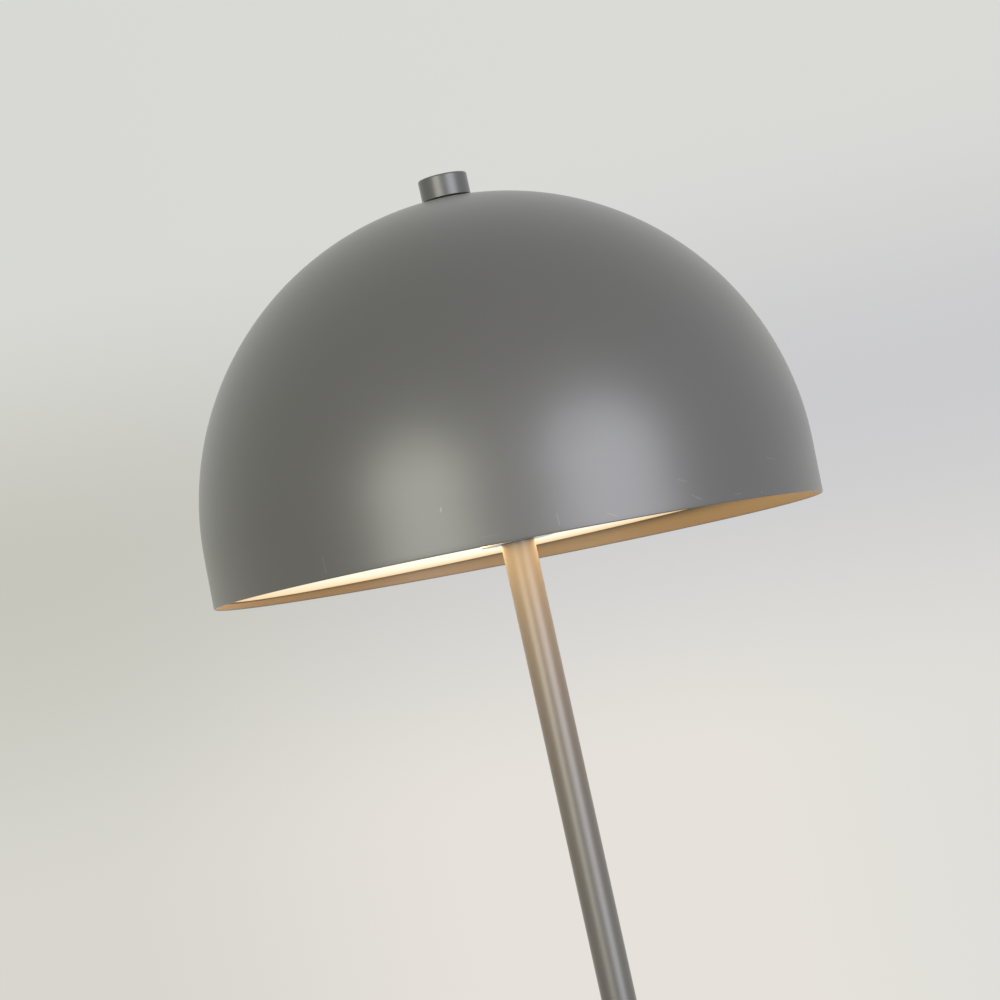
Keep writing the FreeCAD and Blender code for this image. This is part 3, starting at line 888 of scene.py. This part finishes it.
@dataclass
class Foot:
    """Pressed cover on its pad, with the bush for a mains lead in its rear wall."""

    radius: float = 0.140
    height: float = 0.024
    wall: float = 0.0015
    lip: float = 0.001
    edge: float = 0.004
    hole: float = 0.00525
    pad_radius: float = 0.134
    pad_height: float = 0.002
    entry: float = 0.007
    entry_bore: float = 0.00425
    bore: float = 0.0034
    neck: float = 0.0042
    flange: float = 0.0055
    flange_out: float = 0.0022
    flange_in: float = 0.0020
    sides: int = 192

    def build(self) -> None:
        """Makes the foot's pieces and dresses the rest."""
        settle(self.cover(), Coats.BODY, Body.COLUMN, "base_cover")
        pad = settle(self.pad(), Coats.FOAM, Body.COLUMN, "base_pad")
        settle(self.bush(), Coats.BLACK, Body.COLUMN, "cable_gland")
        dress(Coats.ZINC, "base_plate", "plate_screws", "base_nipple", "base_washer", "base_nut")
        dress(Coats.IRON, "base_ballast")

    def cover(self) -> bpy.types.Object:
        """Cover with a rounded edge, a rolled lip and two holes."""
        inside, ceiling = self.radius - self.wall, self.height - self.wall
        outer = [Corner(self.radius, self.lip, 0.0003), Corner(self.radius, self.height, self.edge)]
        hole = [Corner(self.hole, self.height, 0.0002), Corner(self.hole, ceiling)]
        inner = [Corner(inside, ceiling, self.edge - self.wall), Corner(inside, self.lip, 0.0003)]
        piece = Shape().turn(rounded(outer + hole + inner, steps=8), self.sides).made("foot_cover")
        drill = Shape().turn(plate(0, self.entry_bore, -0.02, 0.02, 0, 0), 48)
        way = Matrix.Translation((0, self.radius, self.entry)) @ Matrix.Rotation(math.pi / 2, 4, "X")
        return cut(piece, drill.place(way).made("drill"))

    def pad(self) -> bpy.types.Object:
        """Foam disc with a soft lower edge."""
        outline = plate(0, self.pad_radius, 0, self.pad_height, 0.0006, 0.0002)
        return Shape().turn(outline, self.sides).made("foot_pad")

    def bush(self) -> bpy.types.Object:
        """Bush with a flange on each side of the wall."""
        inner = self.radius - self.wall
        start, end = inner - self.flange_in, self.radius + self.flange_out
        inside = [Corner(self.bore, start, 0.0003), Corner(self.flange, start, 0.0004)]
        neck = [Corner(self.neck, inner), Corner(self.neck, self.radius)]
        neck = [Corner(self.flange, inner, 0.0001), *neck, Corner(self.flange, self.radius, 0.0001)]
        outside = [Corner(self.flange, end, 0.0009), Corner(self.bore, end, 0.0006)]
        turn = Matrix.Translation((0, 0, self.entry)) @ Matrix.Rotation(-math.pi / 2, 4, "X")
        return Shape().turn(rounded(inside + neck + outside), 64).place(turn).made("lead_bush")


@dataclass
class Pole:
    """Three lengths of lacquered tube, with the plugs that join them."""

    radius: float = 0.010
    bore: float = 0.0088
    chamfer: float = 0.0003
    sides: int = 96

    def build(self) -> None:
        """Makes the tubes and dresses what is inside them."""
        for name in ("pole_lower", "pole_middle", "pole_upper"):
            settle(self.tube(name), Coats.TUBE, Body.COLUMN, name)
        dress(Coats.PLUG, "foot_insert", "lower_spigot", "lower_socket", "upper_spigot", "upper_socket", "top_insert")
        dress(Coats.JACKET, "inner_lead")
        dress(Coats.CORE, "lead_cores")
        dress(Coats.ZINC, "top_nipple")

    def tube(self, node: str) -> bpy.types.Object:
        """One length of tube, eased at both ends.

        Args:
            node: The node that it stands for, which gives its heights.

        Returns:
            The tube.
        """
        low, high = (corner.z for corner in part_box(node))
        walls = [Corner(self.radius, low, self.chamfer), Corner(self.radius, high, self.chamfer)]
        bore = [Corner(self.bore, high, 0.0001), Corner(self.bore, low, 0.0001)]
        outline = rounded(walls + bore, steps=3)
        return Shape().turn(outline, self.sides).made("tube_" + node.split("_")[1])


@dataclass
class OpalClosure:
    """The opal disc that closes the dome, with the flange under it and what clamps both."""

    radius: float = 0.1745
    low: float = 1.2837
    thickness: float = 0.003
    hole: float = 0.00525
    seat_radius: float = 0.022
    seat_thickness: float = 0.002
    glow: Stops = (
        (0.0, shown(241, 239, 223)),
        (0.25, shown(241, 239, 223)),
        (0.58, shown(239, 229, 204)),
        (0.67, shown(237, 223, 191)),
        (0.76, shown(236, 214, 181)),
        (0.85, shown(234, 205, 164)),
        (0.93, shown(229, 199, 148)),
        (1.0, shown(222, 184, 124)),
    )

    def build(self) -> None:
        """Makes the disc and the flange."""
        lit = Opal("opal_disc", stops=self.glow, reach=self.radius)
        settle(self.disc(), lit, Body.COLUMN, "diffuser")
        settle(self.seat(), Coats.FLANGE, Body.COLUMN, "diffuser_seat")
        dress(Coats.RUBBER, "diffuser_gasket")
        dress(Coats.ZINC, "nipple_nut")

    def disc(self) -> bpy.types.Object:
        """Disc with polished round edges."""
        outline = plate(self.hole, self.radius, self.low, self.low + self.thickness, 0.0008, 0.0008)
        return Shape().turn(outline, 192).made("opal_cover_disc")

    def seat(self) -> bpy.types.Object:
        """Flange on the end of the tube."""
        outline = plate(self.hole, self.seat_radius, self.low - self.seat_thickness, self.low, 0.0006, 0.0002)
        return Shape().turn(outline, 96).made("disc_flange")


@dataclass(frozen=True)
class Dent:
    """A shallow dent in the dome, in its own frame."""

    azimuth: float
    height: float
    reach: float
    depth: float


@dataclass(frozen=True)
class Mark:
    """A scuff or chip on the dome: degrees from the front and millimetres above the sphere's centre."""

    azimuth: float
    height: float
    azimuth_end: float
    height_end: float
    width: float
    strength: float


@dataclass
class Dome:
    """Half sphere on a short skirt; it leans with its crown towards +X."""

    radius: float = 0.180
    skirt: float = 0.0308
    sheet: float = 0.0012
    lean: float = 1.48
    centre: float = 1.3062
    hole: float = 0.006
    sides: int = 256
    dents: tuple[Dent, ...] = (Dent(12.6, 0.0225, 0.017, 0.00010), Dent(-15.0, 0.028, 0.030, 0.00008))
    scuffs: tuple[Mark, ...] = (
        Mark(-35.34, -18.3, -35.11, -27.2, 0.0005, 0.17),
        Mark(-11.45, -6.2, -11.57, -8.1, 0.0007, 0.30),
        Mark(7.61, -20.9, 7.72, -26.8, 0.0005, 0.17),
        Mark(16.3, -25.8, 17.97, -28.2, 0.0006, 0.09),
        Mark(32.76, -23.8, 34.51, -26.9, 0.0005, 0.17),
        Mark(30.58, -14.4, 32.22, -16.1, 0.0005, 0.14),
        Mark(53.1, -9.6, 55.65, -11.0, 0.0005, 0.15),
        Mark(41.96, -27.0, 43.99, -27.1, 0.0005, 0.14),
        Mark(49.4, -27.9, 49.8, -28.3, 0.0006, 0.17),
        Mark(-5.8, -25.7, -2.7, -26.0, 0.0005, 0.06),
    )
    chips: tuple[Mark, ...] = (
        Mark(-2.9, -30.8, -2.5, -30.8, 0.0007, 0.6),
        Mark(-142.2, -30.8, -141.7, -30.8, 0.0013, 0.8),
        Mark(11.4, -30.8, 11.8, -30.8, 0.0008, 0.75),
        Mark(-40.64, 38.0, -40.6, 38.1, 0.0006, 0.35),
    )

    def build(self) -> None:
        """Makes the dome."""
        settle(self.skin(), self.finish(), Body.DOME, "shade")

    def spot(self, azimuth: float, height: float) -> Point:
        """A place on the dome's outer face.

        Args:
            azimuth: Degrees from the front towards +X.
            height: Height above the sphere's centre, below zero on the skirt.

        Returns:
            The place, in the dome's own frame.
        """
        out = math.sqrt(self.radius ** 2 - max(height, 0.0) ** 2)
        angle = math.radians(azimuth)
        return (out * math.sin(angle), -out * math.cos(angle), height)

    def scuff(self, mark: Mark) -> Scuff:
        """A mark's place on the lacquer."""
        start = self.spot(mark.azimuth, mark.height / 1000)
        return Scuff(start, self.spot(mark.azimuth_end, mark.height_end / 1000), mark.width, mark.strength)

    def finish(self) -> Lacquer:
        """The dome's lacquer with its own scuffs and chips."""
        return Lacquer(
            "grey_lacquer_dome",
            scuffs=tuple(self.scuff(mark) for mark in self.scuffs),
            chips=tuple(self.scuff(mark) for mark in self.chips),
            # Painted shade in patches on the rim's lower 1.2 mm.
            rim_shade=(-self.skirt, -self.skirt + 0.0012),
            # The inner face gets painted warm lamp light.
            lining=self.radius - self.sheet + 0.0003,
        )

    def skin(self) -> bpy.types.Object:
        """Sheet-metal skin with a rounded rim, in its own frame at the sphere's centre."""
        inner = self.radius - self.sheet
        lip = self.sheet / 2
        top = math.degrees(math.acos(self.hole / self.radius))
        under = math.degrees(math.acos(self.hole / inner))
        rim = arc(lip, 0, -180, 8, self.radius - lip, -self.skirt + lip)
        wall = rise(self.radius, 0.0, -self.skirt + lip, 10)
        lining = rise(inner, -self.skirt + lip, 0.0, 6)
        outline = arc(self.radius, top, 0, 72) + wall[1:] + rim[1:] + lining[1:] + arc(inner, 0, under, 60)[1:]
        shape = Shape().turn(outline, self.sides).move(self.dented)
        piece = shape.made("dome_skin", sharp=60.0)
        turn = Matrix.Rotation(math.radians(self.lean), 4, "Y")
        piece.matrix_world = Matrix.Translation((0, 0, self.centre)) @ turn
        return piece

    def dented(self, spot: Vector) -> Vector:
        """A place on the skin after the dents and the press's slight waves.

        Args:
            spot: The place before.

        Returns:
            The place after.
        """
        depth = 0.0
        for dent in self.dents:
            apart = (spot - Vector(self.spot(dent.azimuth, dent.height))).length
            if apart < dent.reach:
                depth += dent.depth * (0.5 + 0.5 * math.cos(math.pi * apart / dent.reach)) ** 1.5
        wave = noise.noise(spot * 11.0) * 0.00004
        inward = Vector((spot.x, spot.y, max(spot.z, 0.0))).normalized()
        return spot - inward * max(depth + wave + 0.00004, 0.0)


@dataclass
class Crown:
    """The knob on its bolt, the washer under it and the button that the dome slides on."""

    offset: float = 0.0027
    knob_radius: float = 0.0145
    low: float = 1.4868
    high: float = 1.5
    edge: float = 0.0010
    bore: float = 0.00305
    bore_depth: float = 0.0106
    recess: float = 0.0078
    recess_depth: float = 0.0010
    washer_radius: float = 0.0126
    washer_hole: float = 0.0033
    washer_top: float = 1.4867
    washer_height: float = 0.0020
    dome_centre: float = 1.3062
    dome_radius: float = 0.18015
    bolt_radius: float = 0.003
    head_radius: float = 0.0055
    head_height: float = 0.0035
    pitch: float = 0.001
    thread_depth: float = 0.00045
    plain: float = 0.004
    tip: float = 0.0004

    def build(self) -> None:
        """Makes the crown's pieces."""
        settle(self.knob(), Coats.KNOB, Body.KNOB, "knob")
        settle(self.washer(), Coats.RUBBER, Body.CROWN, "crown_washer")
        settle(self.bolt(), Coats.ZINC, Body.COLUMN, "crown_bolt")
        dress(Coats.ZINC, "knob_washer")
        dress(Coats.PLUG, "crown_seat")

    def knob(self) -> bpy.types.Object:
        """Turned knob with eased edges, a blind bore and a recess below."""
        tall = self.high - self.low
        body = [Corner(self.knob_radius, 0.0, 0.00045), Corner(self.knob_radius, tall, self.edge), Corner(0, tall)]
        bore = [Corner(0, self.bore_depth), Corner(self.bore, self.bore_depth), Corner(self.bore, self.recess_depth)]
        recess = [Corner(self.recess, 0.0, 0.0001), *body, *bore, Corner(self.recess, self.recess_depth)]
        piece = Shape().turn(rounded(recess, steps=7), 128).made("turned_knob")
        piece.matrix_world = Matrix.Translation((self.offset, 0, self.low))
        return piece

    def washer(self) -> bpy.types.Object:
        """Rubber washer, hollowed to the dome's curve."""
        outline = plate(self.washer_hole, self.washer_radius, 0.0, self.washer_height, 0.0001, 0.00025)
        low = self.washer_top - self.washer_height

        def seated(spot: Vector) -> Vector:
            """Lifts the underside to the dome."""
            on_dome = self.dome_centre + math.sqrt(self.dome_radius ** 2 - spot.x ** 2 - spot.y ** 2)
            share = (spot.z - low) / self.washer_height
            return Vector((spot.x, spot.y, on_dome + (self.washer_top - on_dome) * share))

        lift = Matrix.Translation((0, 0, low))
        return Shape().turn(outline, 96, centre=(self.offset, 0)).place(lift).move(seated).made("crown_rubber")

    def bolt(self) -> bpy.types.Object:
        """Headed bolt with a rolled thread on the part that the knob takes."""
        low, high = (corner.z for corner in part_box("crown_bolt"))
        neck = low + self.head_height
        start, end = neck + self.plain, high - self.tip
        head = [Corner(0, low), Corner(self.head_radius, low, 0.0003), Corner(self.head_radius, neck, 0.0003)]
        shank = rise(self.bolt_radius, neck, start, 2) + rise(self.bolt_radius, start, end, 150)[1:]
        tip = [Corner(self.bolt_radius - self.tip, high), Corner(0, high)]
        thread = Thread(start, end, self.pitch, self.thread_depth, near=0.001)
        shape = Shape().turn(rounded(head + shank + tip), 48, thread, centre=(self.offset, 0))
        return shape.made("crown_bolt_turned", sharp=50.0)


@dataclass
class Lampholder:
    """Cup and sleeve that hold the bulb, with the threaded shell inside."""

    base_radius: float = 0.0195
    base_low: float = 1.2927
    base_high: float = 1.3127
    floor: float = 0.003
    wall: float = 0.002
    hole: float = 0.00525
    body_radius: float = 0.020
    body_bore: float = 0.01415
    flutes: int = 40
    flute_depth: float = 0.0006
    collar: float = 0.0045
    pitch: float = 0.0036
    shell_wall: float = 0.0006
    thread_depth: float = 0.00035

    def build(self) -> None:
        """Makes the holder's pieces."""
        settle(self.cup(), Coats.BLACK, Body.COLUMN, "lampholder_base")
        settle(self.sleeve(), Coats.BLACK, Body.COLUMN, "lampholder_body")
        settle(self.shell(), Coats.BRASS, Body.COLUMN, "lampholder_shell")
        dress(Coats.WHITE, "terminal_block")
        dress(Coats.BRASS, "terminal_screws", "lampholder_contact")

    def cup(self) -> bpy.types.Object:
        """Cup that is screwed down on the nipple."""
        radius, low, high = self.base_radius, self.base_low, self.base_high
        inner, floor = radius - self.wall, low + self.floor
        outside = [Corner(self.hole, low), Corner(radius, low, 0.0015), Corner(radius, high, 0.0004)]
        inside = [Corner(inner, high, 0.0003), Corner(inner, floor, 0.001), Corner(self.hole, floor)]
        return Shape().turn(rounded(outside + inside), 96).made("holder_cup")

    def sleeve(self) -> bpy.types.Object:
        """Sleeve with grip flutes below a plain collar."""
        low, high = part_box("lampholder_body")
        top = high.z - self.collar
        outline = rounded(
            [Corner(self.body_bore, low.z, 0.0003), Corner(self.body_radius, low.z, 0.0005)]
            + rise(self.body_radius, low.z + 0.001, top + 0.0002, 30)
            + [Corner(self.body_radius, high.z, 0.0010), Corner(self.body_bore, high.z, 0.0006)]
        )
        grip = Flutes(low.z + 0.0012, top, self.flutes, self.flute_depth, 0.017)
        return Shape().turn(outline, self.flutes * 6, grip).made("holder_sleeve", sharp=50.0)

    def shell(self) -> bpy.types.Object:
        """Thin brass shell with a rolled thread."""
        low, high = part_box("lampholder_shell")
        outer = (high.x - low.x) / 2
        inner = outer - self.shell_wall
        thread = Thread(low.z, high.z, self.pitch, self.thread_depth)
        outline = rise(outer, low.z, high.z, 80) + rise(inner, high.z, low.z, 80)
        return Shape().turn(outline, 96, thread).made("holder_shell", sharp=60.0)


@dataclass
class Bulb:
    """Globe bulb with a rolled cap, a white collar and an opal globe that is lit."""

    centre: float = 1.3963
    radius: float = 0.030
    wall: float = 0.0012
    cap_radius: float = 0.0132
    pitch: float = 0.0036
    thread_depth: float = 0.0009
    collar_wall: float = 0.0016
    well: float = 0.0015
    neck: float = 0.0028
    tin: float = 0.0006
    glow: Stops = (
        (0.0, shown(252, 240, 208)),
        (1.0, shown(248, 230, 190)),
    )

    def build(self) -> None:
        """Makes the bulb's pieces."""
        lit = Opal("opal_globe", stops=self.glow, reach=self.radius, centre=(0, 0, self.centre), flat=False)
        settle(self.globe(), lit, Body.BULB, "bulb_globe")
        settle(self.collar(), Coats.WHITE, Body.BULB, "bulb_collar")
        settle(self.cap(), Coats.CAP, Body.BULB, "bulb_cap")
        dress(Coats.BOARD, "bulb_board")
        dress(Coats.BLACK, "bulb_insulator")
        dress(Coats.ZINC, "bulb_contact")

    def globe(self) -> bpy.types.Object:
        """Open ball that sits on the collar."""
        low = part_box("bulb_globe")[0].z - self.centre
        inner = self.radius - self.wall
        outside = math.degrees(math.asin(low / self.radius))
        inside = math.degrees(math.asin(low / inner))
        outline = arc(self.radius, outside, 90, 48, z=self.centre) + arc(inner, 90, inside, 40, z=self.centre)
        outline = [Corner(max(corner.r, 0.0), corner.z) for corner in outline]
        return Shape().turn(outline, 128).made("bulb_ball", sharp=60.0)

    def collar(self) -> bpy.types.Object:
        """Flared collar with a bead at its lower end."""
        low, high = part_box("bulb_collar")
        mouth = (high.x - low.x) / 2
        tall = high.z - low.z
        neck = self.cap_radius
        flare = []
        for step in range(31):
            share = step / 30
            widen = share ** 0.82 if share < 1 else 1.0
            flare.append(Corner(neck + (mouth - neck) * widen, low.z + tall * share))
        bead = [Corner(0, low.z), Corner(neck - 0.0006, low.z), Corner(neck, low.z + 0.0006)]
        inner, floor = mouth - self.collar_wall, high.z - self.well
        well = [Corner(inner, high.z), Corner(inner, floor), Corner(0, floor)]
        return Shape().turn(bead + flare[1:] + well, 128).made("bulb_collar_flared")

    def cap(self) -> bpy.types.Object:
        """Cap with a rounded rolled thread and a plain neck."""
        low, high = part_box("bulb_cap")
        neck_radius = self.cap_radius - 0.001
        inner = neck_radius - self.tin
        neck = high.z - self.neck
        thread = Thread(low.z, neck, self.pitch, self.thread_depth, near=inner + 0.0001)
        outer = rise(self.cap_radius - 0.00005, low.z, neck, 110) + rise(neck_radius, neck + 0.0001, high.z, 4)
        outline = outer + [Corner(inner, high.z), Corner(inner, low.z)]
        return Shape().turn(outline, 96, thread).made("bulb_cap_rolled", sharp=60.0)


@dataclass
class Carrier:
    """Saddle and yoke that carry the dome, with their screws and nuts."""

    nodes: tuple[str, ...] = ("saddle", "yoke", "yoke_screws", "yoke_nuts")

    def build(self) -> None:
        """Dresses the carrier."""
        dress(Coats.ZINC, *self.nodes)


# --- studio ---------------------------------------------------------------------------------


@dataclass
class Camera:
    """Camera in the photograph's place, rolled as it was held."""

    place: Point = (0.0, -1.905, 1.20808)
    aim: Point = (-0.004873, 0.0, 1.307477)
    roll: float = 12.463
    lens: float = 117.756
    sensor: float = 36.0
    clip: tuple[float, float] = (0.05, 60.0)

    def axes(self) -> tuple[Vector, Vector, Vector]:
        """The picture's right and up, and the way that the camera looks."""
        ahead = (Vector(self.aim) - Vector(self.place)).normalized()
        level = ahead.cross(Vector((0, 0, 1))).normalized()
        upright = level.cross(ahead)
        turn = math.radians(self.roll)
        up = upright * math.cos(turn) + level * math.sin(turn)
        right = level * math.cos(turn) - upright * math.sin(turn)
        return right, up, ahead

    def build(self) -> None:
        """Makes the camera."""
        right, up, ahead = self.axes()
        data = bpy.data.cameras.new("photo_camera")
        data.lens = self.lens
        data.sensor_width = self.sensor
        data.clip_start, data.clip_end = self.clip
        camera = bpy.data.objects.new("photo_camera", data)
        bpy.context.scene.collection.objects.link(camera)
        turn = Matrix((right, up, -ahead)).transposed().to_4x4()
        camera.matrix_world = Matrix.Translation(self.place) @ turn
        bpy.context.scene.camera = camera


@dataclass
class RoundLight:
    """Round light that the camera doesn't see; each kind says where it stands."""

    name: str
    size: float
    power: float
    colour: tuple[float, float, float]

    def build(self) -> None:
        """Makes the light."""
        data = bpy.data.lights.new(self.name, "AREA")
        data.shape = "DISK"
        data.size = self.size
        data.energy = self.power
        data.color = self.colour
        light = bpy.data.objects.new(self.name, data)
        bpy.context.scene.collection.objects.link(light)
        light.location, light.rotation_euler = self.stand()
        light.visible_camera = False

    def stand(self) -> tuple[Vector, Euler]:
        """Where the light stands and how it is turned."""
        raise NotImplementedError


@dataclass
class SoftLight(RoundLight):
    """Soft light that faces the lamp from afar."""

    azimuth: float
    elevation: float
    distance: float = 2.6
    target: Point = (0.0, 0.0, 1.33)

    def stand(self) -> tuple[Vector, Euler]:
        """On a sphere about the target, facing it."""
        turn, lift = math.radians(self.azimuth), math.radians(self.elevation)
        way = Vector((math.sin(turn) * math.cos(lift), -math.cos(turn) * math.cos(lift), math.sin(lift)))
        return Vector(self.target) + way * self.distance, way.to_track_quat("Z", "Y").to_euler()


@dataclass
class LampGlow(RoundLight):
    """Light of the bulb as it leaves one side of the opal disc."""

    height: float
    down: bool = True
    shift: float = 0.0

    def stand(self) -> tuple[Vector, Euler]:
        """Level, against the disc."""
        return Vector((self.shift, 0, self.height)), Euler((0 if self.down else math.pi, 0, 0))


@dataclass(frozen=True)
class FloorPaint:
    """Pale matt floor that fades out far from the lamp."""

    name: str = "pale_floor"
    colour: Colour = shown(222, 220, 215)
    fade_from: float = 1.6
    fade_to: float = 3.2

    def paint(self, graph: Graph) -> None:
        """Builds the floor."""
        place = graph.place()
        far = graph.length(place)
        cloud = graph.cloud(place, 2.2, 5.0, 0.6)
        sand = graph.cloud(place, 240.0, 3.0, 0.6)
        colour = graph.scaled(self.colour[:3], 1 + (cloud - 0.5) * 0.05 + (sand - 0.5) * 0.03)
        fade = {"Alpha": far.ease(self.fade_to, self.fade_from)}
        graph.surface(colour, 0.72 + (cloud - 0.5) * 0.1, graph.bump(sand, 0.0001), fade)


@dataclass
class Studio:
    """Floor, soft lights and a pale surrounding whose wall carries painted shadow and painted lamp light."""

    camera: Camera = field(default_factory=Camera)
    floor_radius: float = 3.4
    shadow_band: float = 0.062
    lights: tuple[RoundLight, ...] = (
        SoftLight("left_window", 1.65, 34.0, (1.0, 0.995, 0.86), -29.0, 5.6),
        SoftLight("right_window", 2.05, 51.5, (0.90, 0.91, 1.0), 36.4, 2.5),
        LampGlow("glow_down", 0.3515, 0.90, (1.0, 0.54, 0.15), 1.28365, shift=-0.0035),
        LampGlow("glow_middle", 0.22, 0.72, (1.0, 0.60, 0.24), 1.28360),
        LampGlow("glow_up", 0.349, 0.9, (1.0, 0.52, 0.11), 1.2868, down=False),
    )

    def build(self) -> None:
        """Makes the studio."""
        self.camera.build()
        for light in self.lights:
            light.build()
        self.floor()
        self.surroundings()
        bpy.context.scene.view_settings.view_transform = "Standard"

    def floor(self) -> None:
        """Makes the round floor."""
        rings = [Corner(self.floor_radius * step / 12, 0.0) for step in range(13)]
        piece = Shape().turn(rings, 96, closed=False).made("studio_floor")
        piece.data.materials.append(coated(FloorPaint()))

    def surroundings(self) -> None:
        """Makes the world: one wall for the eye, with painted shadow and painted lamp light on it, and soft light for
        the surfaces.
        """
        world = bpy.data.worlds.new("pale_surroundings")
        bpy.context.scene.world = world
        world.use_nodes = True
        graph = Graph(world.node_tree)
        way = graph.node("ShaderNodeTexCoord").outputs["Generated"]
        path = graph.node("ShaderNodeLightPath")
        seen = graph.value(path, "Is Camera Ray").most(graph.value(path, "Is Glossy Ray"))
        seen = seen.most(graph.value(path, "Is Transmission Ray"))
        wall = graph.node("ShaderNodeBackground", None, {"Color": self._wall(graph, way), "Strength": 1.0})
        light = graph.node("ShaderNodeBackground", None, {"Color": self._ambient(graph, way), "Strength": 1.0})
        both = graph.node("ShaderNodeMixShader", None, {0: seen, 1: light.outputs[0], 2: wall.outputs[0]})
        graph.node("ShaderNodeOutputWorld", None, {"Surface": both.outputs[0]})

    def _wall(self, graph: Graph, way: Feed) -> bpy.types.NodeSocket:
        """Colour of the wall by direction, with a painted shadow band and the lamp's painted warm light low down.

        Args:
            graph: The world's graph.
            way: Direction in the world.

        Returns:
            The colour's socket.
        """
        side, _, high = graph.parts(way)
        left = side.ease(0.04, -0.15)
        upper = graph.mix(shown(218, 218, 215), shown(216, 217, 212), left)
        # Painted shadow: a darker band across the wall, darkest and yellowest on the left.
        shadow_band = graph.mix(shown(204, 204, 206), shown(198, 198, 188), left)
        # Painted lamp light: the wall below the band is warmer and brighter, most in the middle.
        lower = graph.mix(shown(230, 226, 219), shown(216, 214, 207), side.ease(-0.02, -0.15))
        lower = graph.mix(lower, shown(223, 222, 217), side.ease(0.03, 0.15))
        wall = graph.mix(shadow_band, upper, high.ease(self.shadow_band, self.shadow_band + 0.088))
        return graph.mix(wall, lower, high.ease(self.shadow_band, self.shadow_band - 0.107))

    @staticmethod
    def _ambient(graph: Graph, way: Feed) -> bpy.types.NodeSocket:
        """Light from the pale wall behind the lamp, and a little from the rest of the room.

        Args:
            graph: The world's graph.
            way: Direction in the world.

        Returns:
            The colour's socket.
        """
        side, back, _ = graph.parts(way)
        behind = graph.mix(shown(176, 175, 150), shown(193, 196, 216), side.ease(-0.7, 0.7))
        ahead = graph.mix(shown(58, 58, 53), shown(56, 57, 66), side.ease(-0.7, 0.7))
        return graph.mix(ahead, behind, back.ease(-0.25, 0.25))


# --- all of it ------------------------------------------------------------------------------


def main() -> None:
    """Builds the studio and the lamp, sub-assembly by sub-assembly."""
    logging.basicConfig(level=logging.INFO, format="%(message)s")
    for part in (Studio(), Foot(), Pole(), OpalClosure(), Carrier(), Lampholder(), Bulb(), Dome(), Crown()):
        log.info("-- %s", type(part).__name__)
        part.build()


if __name__ == "__main__":
    main()
